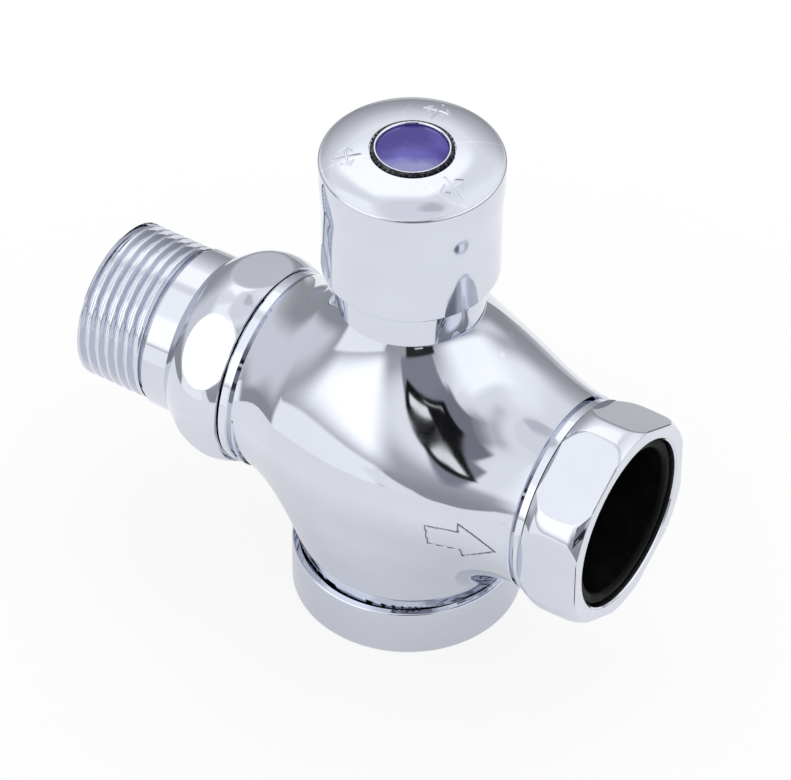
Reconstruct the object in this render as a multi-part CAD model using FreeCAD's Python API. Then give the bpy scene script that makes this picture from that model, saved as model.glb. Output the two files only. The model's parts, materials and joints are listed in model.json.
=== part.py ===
import FreeCAD, Part
import math
import os

V = FreeCAD.Vector

# All sizes are in mm. The origin is the centre of the flat underside of the bottom cap.
# Z is up along the button, X runs along the pipe from the inlet to the outlet.

# Sizes that drive the rest
PIPE_AXIS_Z = 41.1
INLET_COLLAR_X = -32.5
OUTLET_COLLAR_X = 38.1
PIPE_R = 19.7
BOWL_R = 23.7
BUTTON_R = 17.6
BUTTON_HEIGHT = 26.6
INLET_THREAD_R = 16.625
INLET_THREAD_PITCH = 2.309
CAP_FLOOR_Z = 3.3
BOTTOM_CAP_HEIGHT = 10.9

# Clearances
RUNNING_FIT = 0.05
SLIDING_FIT = 0.08
THREAD_FIT = 0.1
LOOSE_FIT = 0.3

# Levels that follow from them
NECK_TOP_Z = PIPE_AXIS_Z + 35.2
BONNET_TOP_Z = NECK_TOP_Z + 9.1
SEAT_Z = PIPE_AXIS_Z - 4.0
ROOF_Z = PIPE_AXIS_Z - 2.5
SHOULDER_Z = BOTTOM_CAP_HEIGHT - 1.3
PRESS_STROKE = 0.3 * BUTTON_HEIGHT

# Body: walls and bores
BODY_WALL = 5.7
CHAMBER_R = BOWL_R - BODY_WALL
SKIRT_R = BOWL_R - 2.7
COLLAR_R = PIPE_R + 0.8
BRANCH_DUCT_R = PIPE_R - 5.7
SPIGOT_R = PIPE_R - 0.7
SPIGOT_LENGTH = 6.4
SLEEVE_R = SPIGOT_R - 2.0
INLET_DUCT_R = INLET_THREAD_R - 4.625
INLET_SPIGOT_R = INLET_THREAD_R - 1.175
CAP_WALL = 1.8
BONNET_R = BUTTON_R - CAP_WALL - 0.9
BONNET_SPIGOT_R = BONNET_R - 2.75
NECK_BORE_R = BONNET_SPIGOT_R + RUNNING_FIT
SEAT_R = NECK_BORE_R - 1.5
SEAT_LIP_R = SEAT_R + 1.4
PARTITION_X = NECK_BORE_R + 2.0
OUTLET_STEP_X = CHAMBER_R + 4.0

# Body: outer form, an upright bowl blended into the pipe
BOWL_BOTTOM_R = BOWL_R - 2.1
NECK_END_R = BONNET_R - 3.2
BELLY_Z = PIPE_AXIS_Z - 4.5
NECK_END_Z = PIPE_AXIS_Z + 41.5
BOWL_BOTTOM_Z = BOTTOM_CAP_HEIGHT + 0.7
BLEND_LOW = 24.4
BLEND_HIGH = 46.2
BLEND_LOSS_INLET = 0.33
BLEND_LOSS_OUTLET = 0.07
FORM_ROWS = 56
FORM_COLUMNS = 48

# Pipe collars: width of the bright band, of the groove behind it and of the bead
INLET_BANDS = (2.1, 1.2, 0.6)
OUTLET_BANDS = (1.5, 0.75, 0.5)

# Inlet connector
LAND_R = INLET_THREAD_R + 0.55
INLET_MOUTH_X = INLET_COLLAR_X - 36.9
INLET_THREAD_LENGTH = 15.2
THREAD_DEPTH = 0.606
LAND_END_X = INLET_COLLAR_X - 15.5
GASKET_WIDTH = 0.5
INLET_HEX_R = PIPE_R + 2.5
INLET_FLAT_R = PIPE_R + 1.05
NUT_R = PIPE_R + 2.8
FLAT_R = PIPE_R + 0.75

# Outlet nut and sleeve seal
NUT_BACK_X = OUTLET_COLLAR_X + 0.5
NUT_LENGTH = 12.7
NUT_LIP = 2.74
NUT_PITCH = 2.0
CAP_PITCH = 1.5
TAIL_DEPTH = 7.1
NUT_HOLE_R = SPIGOT_R - 1.05
TUBE_BORE_R = SLEEVE_R - 1.5

# Regulator, throttle and stem, all measured from the bonnet
REGULATOR_R = 0.628 * BONNET_SPIGOT_R
THROTTLE_THREAD_R = 0.8 * REGULATOR_R
STEM_R = 0.4 * REGULATOR_R
REGULATOR_FLANGE = 2.2
BONNET_BOTTOM_Z = NECK_TOP_Z - 14.7
BONNET_WEB_Z = BONNET_BOTTOM_Z + 3.0
BELL_TOP_Z = BONNET_BOTTOM_Z - 1.0
BELL_HEIGHT = 8.0
BELL_R = NECK_BORE_R - 0.5
THROTTLE_STROKE = 6.0
KEY_WIDTH = 3.0
KEY_REACH = 1.0
CLIP_DEPTH = 0.9
CLIP_GAP = 3.0
RING_SECTION_R = 0.57
REGULATOR_BOTTOM_Z = BELL_TOP_Z - 10.0
STEM_BOTTOM_Z = PIPE_AXIS_Z + 4.5

# Button
BUTTON_BOTTOM_Z = BONNET_TOP_Z
CREASE_Z = BUTTON_BOTTOM_Z + BUTTON_HEIGHT
CAP_CEILING_Z = CREASE_Z - 3.4
RECESS_FLOOR_Z = CAP_CEILING_Z + 2.2
RIM_R = BUTTON_R + 0.55
DOME_Z = CREASE_Z + 2.75
BEZEL_R = 8.26
BEZEL_TEETH = 44
LENS_R = BEZEL_R - 1.2
BOSS_R = REGULATOR_R * 2 / math.sqrt(3) + 1.35

# Piston, all measured down from the seat
SEAL_THICKNESS = 3.0
PISTON_DISK_R = CHAMBER_R - 4.5
HUB_R = CHAMBER_R / 2
HUB_BOTTOM_Z = SEAT_Z - 24.5
CUP_BASE_Z = SEAT_Z - 14.5
CUP_HEIGHT = 5.6
PILOT_SEAT_Z = SEAT_Z - 13.1
PILOT_CAVITY_R = HUB_R - 3.5

# Small parts
SPRING_WIRE_R = 0.65
CUP_RETAINER = 2.0
SCREW_R = 2.0
HEAD_HEIGHT = 1.6
ORIFICE_SHANK_R = 1.5
ORIFICE_HEAD_R = 2.1
FILTER_SLITS = 18
PUSH_RING = 1.1
PISTON_SPIGOT_R = 5.1
PILOT_BORE_R = 2.4
PILOT_PIN_R = 1.2
PILOT_SEAL = 1.2
BEZEL_SEAT_Z = CREASE_Z + 2.3
LENS_LEDGE_Z = RECESS_FLOOR_Z + 2.3
LENS_RISE = 1.0
INDEX_DISC = 0.4

# Turn of the flats: angle of one flat's middle from the Y direction towards Z
HEX_TURN_INLET = -41.0
HEX_TURN_OUTLET = 0.0

# Engraved marks
MARK_WIDTH = 0.35
MARK_DEPTH = 0.25
ARROW_BACK = 19.2
ARROW_LENGTH = 13.8
ARROW_DROP = -0.7
MARK_ARC_R = 12.8
MARK_ARC_HALF = 11.0
CAP_MARK_TURN = -20.0


def revolve_z(pieces):
    """Closed profile of (radius, z) pieces turned about Z."""
    return turned(pieces, lambda r, z: V(r, 0, z), V(0, 0, 1), V(0, 0, 0))


def revolve_x(pieces):
    """Closed profile of (x, radius) pieces turned about the pipe axis."""
    return turned(pieces, lambda x, r: V(x, 0, PIPE_AXIS_Z + r), V(1, 0, 0), V(0, 0, PIPE_AXIS_Z))


def turned(pieces, place, axis, centre):
    """Two points make a line, three an arc, more a smooth curve; gaps are joined by lines."""
    edges = []
    last = None
    first = place(*pieces[0][0])
    for piece in pieces:
        points = [place(*p) for p in piece]
        if last is not None and last.distanceToPoint(points[0]) > 1e-7:
            edges.append(Part.makeLine(last, points[0]))
        if len(points) == 2:
            edges.append(Part.makeLine(*points))
        elif len(points) == 3:
            edges.append(Part.Arc(*points).toShape())
        elif len(points) > 3:
            curve = Part.BSplineCurve()
            curve.interpolate(points)
            edges.append(curve.toShape())
        last = points[-1]
    if last.distanceToPoint(first) > 1e-7:
        edges.append(Part.makeLine(last, first))
    face = Part.Face(Part.Wire(edges))
    return face.revolve(centre, axis, 360)


def polygon(points):
    """Straight-sided profile as pieces."""
    return [[point] for point in points]


def ring_z(r_in, r_out, z0, z1, edge=0.0):
    """Plain ring about Z with bevelled edges."""
    return revolve_z(polygon([
        (r_in, z0), (r_out - edge, z0), (r_out, z0 + edge),
        (r_out, z1 - edge), (r_out - edge, z1), (r_in, z1),
    ] if edge else [(r_in, z0), (r_out, z0), (r_out, z1), (r_in, z1)]))


def ring_x(r_in, r_out, x0, x1, edge=0.0):
    """Plain ring about the pipe axis with bevelled edges."""
    return revolve_x(polygon([
        (x0, r_in), (x0, r_out - edge), (x0 + edge, r_out),
        (x1 - edge, r_out), (x1, r_out - edge), (x1, r_in),
    ] if edge else [(x0, r_in), (x0, r_out), (x1, r_out), (x1, r_in)]))


def rod_z(r, z0, z1):
    return Part.makeCylinder(r, z1 - z0, V(0, 0, z0), V(0, 0, 1))


def rod_x(r, x0, x1):
    return Part.makeCylinder(r, x1 - x0, V(x0, 0, PIPE_AXIS_Z), V(1, 0, 0))


def torus_z(r_major, r_minor, z):
    return Part.makeTorus(r_major, r_minor, V(0, 0, z), V(0, 0, 1))


def hexagon_z(flat_r, z0, z1):
    return hexagon(flat_r, z1 - z0, V(0, 0, z0), V(0, 0, 1), 0.0)


def hexagon(flat_r, length, base, axis, turn):
    """Hexagonal prism; the middle of one flat stands at the turn angle from the first direction."""
    corner_r = flat_r / math.cos(math.pi / 6)
    points = []
    for k in range(7):
        a = math.radians(turn + 30 + 60 * k)
        if abs(axis.x) > 0.5:
            points.append(base + V(0, corner_r * math.cos(a), corner_r * math.sin(a)))
        else:
            points.append(base + V(corner_r * math.cos(a), corner_r * math.sin(a), 0))
    return Part.Face(Part.makePolygon(points)).extrude(axis * length)


def cut_all(shape, tools):
    for tool in tools:
        shape = shape.cut(tool)
    return shape


def fuse_all(shapes):
    result = shapes[0]
    for shape in shapes[1:]:
        result = result.fuse(shape)
    return result.removeSplitter()


def thread_rings(r, start, end, pitch, depth, turn_about):
    """Outer thread drawn as a row of V grooves; the turn_about function revolves a profile."""
    grooves = []
    half = 0.42 * pitch
    count = int((end - start) / pitch)
    for k in range(count):
        middle = start + (k + 0.5) * pitch
        points = [(middle - half, r + 1.0), (middle - half, r), (middle, r - depth),
                  (middle + half, r), (middle + half, r + 1.0)]
        if turn_about is revolve_z:
            points = [(radius, at) for at, radius in points]
        grooves.append(turn_about(polygon(points)))
    return grooves


def helical_spring(mean_r, wire_r, z0, z1, turns):
    """Round wire wound between two levels, one unbroken tube with closer end coils."""
    low = z0 + wire_r
    high = z1 - wire_r
    end_turns = 1.0
    end_rise = 2.15 * wire_r
    middle_rise = (high - low) - 2 * end_rise
    steps = 12
    total = turns + 2 * end_turns
    points = []
    for k in range(int(total * steps) + 1):
        t = k / steps
        if t < end_turns:
            z = low + end_rise * t / end_turns
        elif t > turns + end_turns:
            z = high - end_rise * (total - t) / end_turns
        else:
            z = low + end_rise + middle_rise * (t - end_turns) / turns
        a = 2 * math.pi * t
        points.append(V(mean_r * math.cos(a), mean_r * math.sin(a), z))
    path = Part.BSplineCurve()
    path.interpolate(points)
    start_direction = path.tangent(path.FirstParameter)[0]
    wire = Part.Wire(Part.makeCircle(wire_r, points[0], start_direction))
    tube = Part.BRepOffsetAPI.MakePipeShell(Part.Wire(path.toShape()))
    tube.setFrenetMode(False)
    tube.setBiNormalMode(V(0, 0, 1))
    tube.add(wire)
    tube.build()
    tube.makeSolid()
    return tube.shape()


# Outer form of the body
def smooth_step(t):
    t = min(max(t, 0.0), 1.0)
    return t * t * (3 - 2 * t)


def bowl_radius(z):
    """Radius of the upright part at height z."""
    if z > BELLY_Z:
        t = min((z - BELLY_Z) / (NECK_END_Z - BELLY_Z), 1.0)
        return BOWL_R + (NECK_END_R - BOWL_R) * (0.5 - 0.5 * math.cos(math.pi * t))
    t = min((BELLY_Z - z) / (BELLY_Z - BOWL_BOTTOM_Z), 1.0)
    return BOWL_R + (BOWL_BOTTOM_R - BOWL_R) * t * t


def outside(x, y, z, inset):
    """Negative inside the smooth union of the upright bowl and the pipe."""
    beyond = max(z - NECK_END_Z, BOWL_BOTTOM_Z - z, 0.0)
    upright = math.hypot(math.hypot(x, y), beyond) - bowl_radius(z)
    pipe = math.hypot(y, z - PIPE_AXIS_Z) - PIPE_R
    blend = BLEND_LOW + (BLEND_HIGH - BLEND_LOW) * smooth_step((z - PIPE_AXIS_Z + 10.5) / 24)
    loss = BLEND_LOSS_INLET if x < 0 else BLEND_LOSS_OUTLET
    blend *= 1 - loss * smooth_step((abs(x) - 16) / 16)
    overlap = max(blend - abs(upright - pipe), 0.0) / blend
    return min(upright, pipe) - overlap ** 3 * blend / 6 + inset


def surface_point(direction, inset):
    """Where a ray from the middle of the pipe axis leaves the body."""
    near = 2.0
    far = 120.0
    for _ in range(34):
        middle = (near + far) / 2
        p = direction * middle
        if outside(p.x, p.y, p.z + PIPE_AXIS_Z, inset) < 0:
            near = middle
        else:
            far = middle
    return direction * near + V(0, 0, PIPE_AXIS_Z)


def form_line(place):
    """Half turn of points round the pipe, from below over the front to the top."""
    line = []
    for j in range(FORM_COLUMNS + 1):
        phi = math.radians(-90 + 180 * j / FORM_COLUMNS)
        point = place(math.cos(phi), math.sin(phi))
        if j in (0, FORM_COLUMNS):
            point.y = 0
        line.append(point)
    return line


def blended_solid(inset):
    """Front half of the body as one smooth face, closed on the middle plane and mirrored."""
    reach_in = INLET_COLLAR_X - 2.5
    reach_out = OUTLET_COLLAR_X + SPIGOT_LENGTH + 1.0
    end_in = math.degrees(math.atan2(PIPE_R, -reach_in))
    end_out = math.degrees(math.atan2(PIPE_R, reach_out - 6.0))
    r = PIPE_R - inset
    grid = [form_line(lambda front, up: V(reach_out, -r * front, PIPE_AXIS_Z + r * up))]
    for i in range(FORM_ROWS + 1):
        theta = math.radians(end_out + (180 - end_in - end_out) * i / FORM_ROWS)
        x, across = math.cos(theta), math.sin(theta)
        grid.append(form_line(lambda front, up: surface_point(V(x, -across * front, across * up), inset)))
    grid.append(form_line(lambda front, up: V(reach_in - 4.0, -r * front, PIPE_AXIS_Z + r * up)))
    surface = Part.BSplineSurface()
    surface.interpolate(grid)
    skin = surface.toShape()
    u0, u1, v0, v1 = surface.bounds()
    ends = [surface.uIso(u0).toShape(), surface.uIso(u1).toShape()]
    rails = [surface.vIso(v0).toShape(), surface.vIso(v1).toShape()]
    closers = [Part.makeLine(end.Vertexes[0].Point, end.Vertexes[-1].Point) for end in ends]
    faces = [skin]
    for end, line in zip(ends, closers):
        faces.append(Part.Face(Part.Wire([end, line])))
    faces.append(Part.Face(Part.Wire(Part.__sortEdges__(rails + closers))))
    shell = Part.Shell(faces)
    shell.sewShape()
    half = Part.Solid(shell)
    if half.Volume < 0:
        half.reverse()
    return half.fuse(half.mirror(V(0, 0, 0), V(0, 1, 0)))


def bore_tools():
    """Everything taken out of the body."""
    height = BRANCH_DUCT_R - 0.5
    passage = Part.makeBox(OUTLET_STEP_X + 0.5, 2 * SEAT_R, height, V(0, -SEAT_R, PIPE_AXIS_Z))
    top = [e for e in passage.Edges if is_along_x(e) and e.CenterOfMass.z > PIPE_AXIS_Z + height - 1]
    tools = [
        rod_z(CHAMBER_R, CAP_FLOOR_Z - 2, SEAT_Z),
        revolve_z(polygon([(SEAT_LIP_R, SEAT_Z - 0.01), (CHAMBER_R, SEAT_Z - 0.01),
                           (CHAMBER_R, ROOF_Z), (SEAT_LIP_R, ROOF_Z)])),
        rod_z(SEAT_R, SEAT_Z - 1, PIPE_AXIS_Z + 1),
        rod_z(NECK_BORE_R, PIPE_AXIS_Z, NECK_TOP_Z + 2),
        rod_x(INLET_DUCT_R, INLET_COLLAR_X - 5, -PARTITION_X),
        rod_x(INLET_SPIGOT_R + RUNNING_FIT, INLET_COLLAR_X - 5, INLET_COLLAR_X + 11),
        passage.makeFillet(3.0, top),
        rod_x(BRANCH_DUCT_R, OUTLET_STEP_X, OUTLET_COLLAR_X + 20),
        rod_x(SLEEVE_R, OUTLET_COLLAR_X - TAIL_DEPTH - 0.5, OUTLET_COLLAR_X + 20),
        torus_z((CHAMBER_R + SKIRT_R) / 2, 0.9, CAP_FLOOR_Z + 0.75),
    ]
    slot_r = NECK_BORE_R + KEY_REACH + LOOSE_FIT
    slot_width = KEY_WIDTH + LOOSE_FIT
    slot_low = BELL_TOP_Z - BELL_HEIGHT - THROTTLE_STROKE - 1.0
    slot_height = BONNET_BOTTOM_Z - slot_low
    tools.append(Part.makeBox(slot_width, 2 * slot_r, slot_height, V(-slot_width / 2, -slot_r, slot_low)))
    return tools


def is_along_x(edge):
    box = edge.BoundBox
    return box.XLength > 1 and box.YLength < 1e-6 and box.ZLength < 1e-6


def collar_bands(face_x, inward, widths):
    """Bright band, dark groove and thin bead behind one pipe collar, and the form trimmed to them."""
    band, groove, bead = widths
    a = face_x + inward * band
    b = a + inward * groove
    c = b + inward * bead
    ring = ring_x(PIPE_R - 4, COLLAR_R, min(face_x, a), max(face_x, a), 0.3)
    ring = ring.fuse(ring_x(PIPE_R - 4, COLLAR_R, min(b, c), max(b, c), 0.15))
    trough = ring_x(PIPE_R - 0.3, PIPE_R + 6, min(a, b), max(a, b))
    shave = ring_x(COLLAR_R, PIPE_R + 6, min(face_x - inward, b), max(face_x - inward, b))
    return ring, trough, shave


def arrow_strips():
    """Outline of the flow arrow as thin upright walls in front of the outlet branch."""
    z = PIPE_AXIS_Z + ARROW_DROP
    x0 = OUTLET_COLLAR_X - ARROW_BACK
    neck = x0 + 6.4
    tip = x0 + ARROW_LENGTH
    outline = [(x0, z - 2.9), (neck, z - 2.9), (neck, z - 5.2), (tip, z),
               (neck, z + 5.2), (neck, z + 2.9), (x0, z + 2.9)]
    strips = []
    count = len(outline)
    for k in range(count):
        xa, za = outline[k]
        xb, zb = outline[(k + 1) % count]
        a = V(xa, -PIPE_R - 9, za)
        b = V(xb, -PIPE_R - 9, zb)
        strips.append(stroke(a, b, V(0, 1, 0), MARK_WIDTH, 14))
    return strips


def stroke(a, b, normal, width, depth):
    """Straight mark with square ends, pushed along the normal."""
    along = (b - a).normalize()
    side = along.cross(normal) * (width / 2)
    over = along * (width / 2)
    corners = [a - over - side, b + over - side, b + over + side, a - over + side, a - over - side]
    return Part.Face(Part.makePolygon(corners)).extrude(normal * depth)


def make_valve_body():
    form = blended_solid(0.0)
    core = blended_solid(MARK_DEPTH)
    for strip in arrow_strips():
        form = form.cut(strip.cut(core))
    keep = Part.makeBox(OUTLET_COLLAR_X - INLET_COLLAR_X, 8 * BOWL_R, NECK_TOP_Z - SHOULDER_Z,
                        V(INLET_COLLAR_X, -4 * BOWL_R, SHOULDER_Z))
    form = form.common(keep)
    for collar in ((INLET_COLLAR_X, 1, INLET_BANDS), (OUTLET_COLLAR_X, -1, OUTLET_BANDS)):
        ring, trough, shave = collar_bands(*collar)
        form = form.cut(shave).fuse(ring).cut(trough)
    end = OUTLET_COLLAR_X + SPIGOT_LENGTH
    spigot = ring_x(SLEEVE_R, SPIGOT_R, OUTLET_COLLAR_X - 4, end, 0.5)
    turns = thread_rings(SPIGOT_R, OUTLET_COLLAR_X + 1.0, end - 0.4, NUT_PITCH, 0.8, revolve_x)
    form = form.fuse(cut_all(spigot, turns))
    skirt = ring_z(CHAMBER_R, SKIRT_R, CAP_FLOOR_Z, SHOULDER_Z + 2)
    turns = thread_rings(SKIRT_R, CAP_FLOOR_Z + 2.4, SHOULDER_Z - 0.1, CAP_PITCH, CAP_PITCH / 2, revolve_z)
    form = form.fuse(cut_all(skirt, turns))
    return cut_all(form, bore_tools())


def inlet_hexagon():
    """Barrel-shaped collar with six flats between the plain land and the body."""
    back = LAND_END_X + 0.6
    front = INLET_COLLAR_X - GASKET_WIDTH
    barrel = revolve_x([
        [(back, 0.0), (back, LAND_R + 0.1)],
        [(back, LAND_R + 0.1), (back + 2.5, INLET_HEX_R - 2.8), (back + 4.7, INLET_HEX_R - 1.35),
         (back + 9.4, INLET_HEX_R), (back + 12.6, INLET_HEX_R - 0.35), (front, INLET_HEX_R - 1.1)],
        [(front, INLET_HEX_R - 1.1), (front, 0.0)],
    ])
    prism = hexagon(INLET_FLAT_R, front - back + 2, V(back - 1, 0, PIPE_AXIS_Z), V(1, 0, 0), HEX_TURN_INLET)
    return barrel.common(prism)


def make_inlet_nipple():
    thread_end = INLET_MOUTH_X + INLET_THREAD_LENGTH
    relief = ring_x(INLET_DUCT_R, INLET_THREAD_R - 1.3, thread_end, thread_end + 1.0)
    land = ring_x(INLET_DUCT_R, LAND_R, thread_end + 0.9, LAND_END_X + 1.5, 0.35)
    spigot_end = INLET_COLLAR_X + 10.8
    spigot = ring_x(INLET_DUCT_R, INLET_SPIGOT_R, INLET_COLLAR_X - GASKET_WIDTH - 2, spigot_end, 0.6)
    turns = thread_rings(INLET_SPIGOT_R, INLET_COLLAR_X + 1.2, spigot_end - 0.8, 1.8, 0.75, revolve_x)
    nipple = fuse_all([threaded_end(), relief, land, inlet_hexagon(), cut_all(spigot, turns)])
    nipple = nipple.cut(rod_x(INLET_DUCT_R, INLET_MOUTH_X - 1, spigot_end + 1))
    return nipple.cut(revolve_x(polygon([
        (INLET_MOUTH_X - 1, 0), (INLET_MOUTH_X - 1, INLET_DUCT_R + 2.4),
        (INLET_MOUTH_X, INLET_DUCT_R + 1.4), (INLET_MOUTH_X + 1.4, INLET_DUCT_R),
        (INLET_MOUTH_X + 1.4, 0)])))


def threaded_end():
    """Inlet end with its pipe thread: flat crests and roots between straight flanks."""
    end = INLET_MOUTH_X + INLET_THREAD_LENGTH
    blank = ring_x(INLET_DUCT_R, INLET_THREAD_R, INLET_MOUTH_X, end, 0.4)
    root_r = INLET_THREAD_R - THREAD_DEPTH * INLET_THREAD_PITCH
    half_root = 0.108 * INLET_THREAD_PITCH
    half_mouth = 0.39 * INLET_THREAD_PITCH
    turns = []
    for k in range(int(INLET_THREAD_LENGTH / INLET_THREAD_PITCH)):
        middle = INLET_MOUTH_X + (k + 0.75) * INLET_THREAD_PITCH
        turns.append(revolve_x(polygon([
            (middle - half_mouth, INLET_THREAD_R + 1), (middle - half_mouth, INLET_THREAD_R),
            (middle - half_root, root_r), (middle + half_root, root_r),
            (middle + half_mouth, INLET_THREAD_R), (middle + half_mouth, INLET_THREAD_R + 1)])))
    return cut_all(blank, turns)


def make_inlet_gasket():
    low_x = INLET_COLLAR_X - GASKET_WIDTH
    return ring_x(INLET_SPIGOT_R + LOOSE_FIT, PIPE_R - 0.2, low_x, INLET_COLLAR_X, 0.15)


def make_bottom_cap():
    r = BOWL_R - 0.2
    lip_r = SKIRT_R + 1.7
    return revolve_z([
        [(0.0, 0.0), (r - 0.35, 0.0)],
        [(r - 0.35, 0.0), (r - 0.1, 0.1), (r, 0.35)],
        [(r, 0.35), (r, BOTTOM_CAP_HEIGHT - 0.5)],
        [(r, BOTTOM_CAP_HEIGHT - 0.5), (r - 0.12, BOTTOM_CAP_HEIGHT - 0.12),
         (r - 0.4, BOTTOM_CAP_HEIGHT)],
        [(lip_r, BOTTOM_CAP_HEIGHT)],
        [(lip_r, SHOULDER_Z - 0.4)],
        [(SKIRT_R + THREAD_FIT, SHOULDER_Z - 0.9)],
        [(SKIRT_R + THREAD_FIT, CAP_FLOOR_Z)],
        [(0.0, CAP_FLOOR_Z)],
    ])


def make_bottom_cap_o_ring():
    return torus_z((CHAMBER_R + SKIRT_R) / 2, 0.75, CAP_FLOOR_Z + 0.75)


def make_bonnet():
    web_r = REGULATOR_R + SLIDING_FIT
    recess_r = BONNET_SPIGOT_R - 1.7
    groove_r = BONNET_SPIGOT_R - 1.45
    body = revolve_z(polygon([
        (web_r, BONNET_WEB_Z), (recess_r, BONNET_WEB_Z), (recess_r, BONNET_BOTTOM_Z),
        (BONNET_SPIGOT_R - 0.5, BONNET_BOTTOM_Z), (BONNET_SPIGOT_R, BONNET_BOTTOM_Z + 0.5),
        (BONNET_SPIGOT_R, NECK_TOP_Z - 2.0), (groove_r, NECK_TOP_Z - 2.0),
        (groove_r, NECK_TOP_Z - 0.4),
        (BONNET_SPIGOT_R, NECK_TOP_Z - 0.4), (BONNET_SPIGOT_R, NECK_TOP_Z),
        (BONNET_R - 0.4, NECK_TOP_Z), (BONNET_R, NECK_TOP_Z + 0.4),
        (BONNET_R, BONNET_TOP_Z - 0.6), (BONNET_R - 0.6, BONNET_TOP_Z), (web_r, BONNET_TOP_Z)]))
    return cut_all(body, thread_rings(BONNET_SPIGOT_R, BONNET_BOTTOM_Z + 0.8, NECK_TOP_Z - 2.6,
                                      CAP_PITCH, CAP_PITCH / 2, revolve_z))


def make_bonnet_o_ring():
    return torus_z(BONNET_SPIGOT_R - 0.7, 0.7, NECK_TOP_Z - 1.2)


def make_outlet_nut():
    front = NUT_BACK_X + NUT_LENGTH
    lip_x = front - NUT_LIP
    barrel = revolve_x([
        [(NUT_BACK_X, SPIGOT_R + THREAD_FIT + 0.5), (NUT_BACK_X, NUT_R - 1.3)],
        [(NUT_BACK_X, NUT_R - 1.3), (NUT_BACK_X + 2.2, NUT_R - 0.35), (NUT_BACK_X + 5.2, NUT_R),
         (NUT_BACK_X + 9.4, NUT_R - 0.05), (front - 0.9, NUT_R - 0.45), (front, NUT_R - 1.35)],
        [(front, NUT_HOLE_R + 0.3)],
        [(front - 0.3, NUT_HOLE_R)],
        [(lip_x, NUT_HOLE_R)],
        [(lip_x, SPIGOT_R + THREAD_FIT)],
        [(NUT_BACK_X + 0.5, SPIGOT_R + THREAD_FIT)],
    ])
    base = V(NUT_BACK_X - 1, 0, PIPE_AXIS_Z)
    prism = hexagon(FLAT_R, NUT_LENGTH + 2, base, V(1, 0, 0), HEX_TURN_OUTLET)
    return barrel.common(prism)


def make_push_ring():
    lip_x = NUT_BACK_X + NUT_LENGTH - NUT_LIP
    return ring_x(NUT_HOLE_R - 0.35, SPIGOT_R - 0.1, lip_x - 0.1 - PUSH_RING, lip_x - 0.1, 0.15)


def make_outlet_seal():
    """Rubber sleeve: tail inside the body, flange on its end, rounded nose in the nut."""
    tail_x = OUTLET_COLLAR_X - TAIL_DEPTH
    face_x = OUTLET_COLLAR_X + SPIGOT_LENGTH
    flange_x = NUT_BACK_X + NUT_LENGTH - NUT_LIP - 0.1 - PUSH_RING
    nose_x = NUT_BACK_X + NUT_LENGTH - 1.1
    nose_r = NUT_HOLE_R - 0.45
    lead = 1.05
    return revolve_x([
        [(tail_x, TUBE_BORE_R), (tail_x, SLEEVE_R - 0.05)],
        [(face_x, SLEEVE_R - 0.05)],
        [(face_x, SPIGOT_R - 0.3)],
        [(flange_x, SPIGOT_R - 0.3)],
        [(flange_x, nose_r)],
        [(nose_x - 0.9, nose_r)],
        [(nose_x - 0.9, nose_r), (nose_x - 0.25, nose_r - 0.3), (nose_x, TUBE_BORE_R + lead)],
        [(nose_x, TUBE_BORE_R + lead), (nose_x - 0.293 * lead, TUBE_BORE_R + 0.293 * lead),
         (nose_x - lead, TUBE_BORE_R)],
    ])


def make_regulator_sleeve():
    """Turned part: threaded foot, sealed shaft, flange for the spring and a hexagon for the cap."""
    foot_top = BONNET_WEB_Z - 2.2
    clip_low, clip_high = clip_levels()
    groove_r = REGULATOR_R - CLIP_DEPTH
    ring_groove_r = REGULATOR_R - 2 * RING_SECTION_R
    points = [(THROTTLE_THREAD_R - 0.4, REGULATOR_BOTTOM_Z), (THROTTLE_THREAD_R, REGULATOR_BOTTOM_Z + 0.4),
              (THROTTLE_THREAD_R, foot_top), (REGULATOR_R, foot_top),
              (REGULATOR_R, clip_low), (groove_r, clip_low),
              (groove_r, clip_high), (REGULATOR_R, clip_high)]
    for z in regulator_ring_levels():
        points += [(REGULATOR_R, z - 0.8), (ring_groove_r, z - 0.8),
                   (ring_groove_r, z + 0.8), (REGULATOR_R, z + 0.8)]
    flange_r = BUTTON_R - CAP_WALL - 1.4
    points += [(REGULATOR_R, BONNET_TOP_Z), (flange_r - 0.3, BONNET_TOP_Z), (flange_r, BONNET_TOP_Z + 0.3),
               (flange_r, BONNET_TOP_Z + REGULATOR_FLANGE), (0, BONNET_TOP_Z + REGULATOR_FLANGE)]
    points.append((0, REGULATOR_BOTTOM_Z))
    shaft = revolve_z(polygon(points))
    flange_top = BONNET_TOP_Z + REGULATOR_FLANGE
    hexed = hexagon_z(REGULATOR_R, flange_top - 0.5, CAP_CEILING_Z - PRESS_STROKE - 0.5)
    stem_bore = rod_z(STEM_R + SLIDING_FIT, REGULATOR_BOTTOM_Z - 1, CAP_CEILING_Z)
    return shaft.fuse(hexed).cut(stem_bore).removeSplitter()


def clip_levels():
    return BONNET_WEB_Z - 1.4, BONNET_WEB_Z - 0.2


def regulator_ring_levels():
    middle = (BONNET_WEB_Z + BONNET_TOP_Z) / 2
    return middle - 2.4, middle + 2.4


def make_regulator_o_rings():
    middle_r = REGULATOR_R - RING_SECTION_R
    return Part.makeCompound([torus_z(middle_r, RING_SECTION_R, z) for z in regulator_ring_levels()])


def make_retaining_clip():
    low, high = clip_levels()
    ring = ring_z(REGULATOR_R - CLIP_DEPTH + RUNNING_FIT, REGULATOR_R + 1.6, low + 0.1, high)
    return ring.cut(Part.makeBox(20, CLIP_GAP, 4, V(0, -CLIP_GAP / 2, low - 1)))


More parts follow.
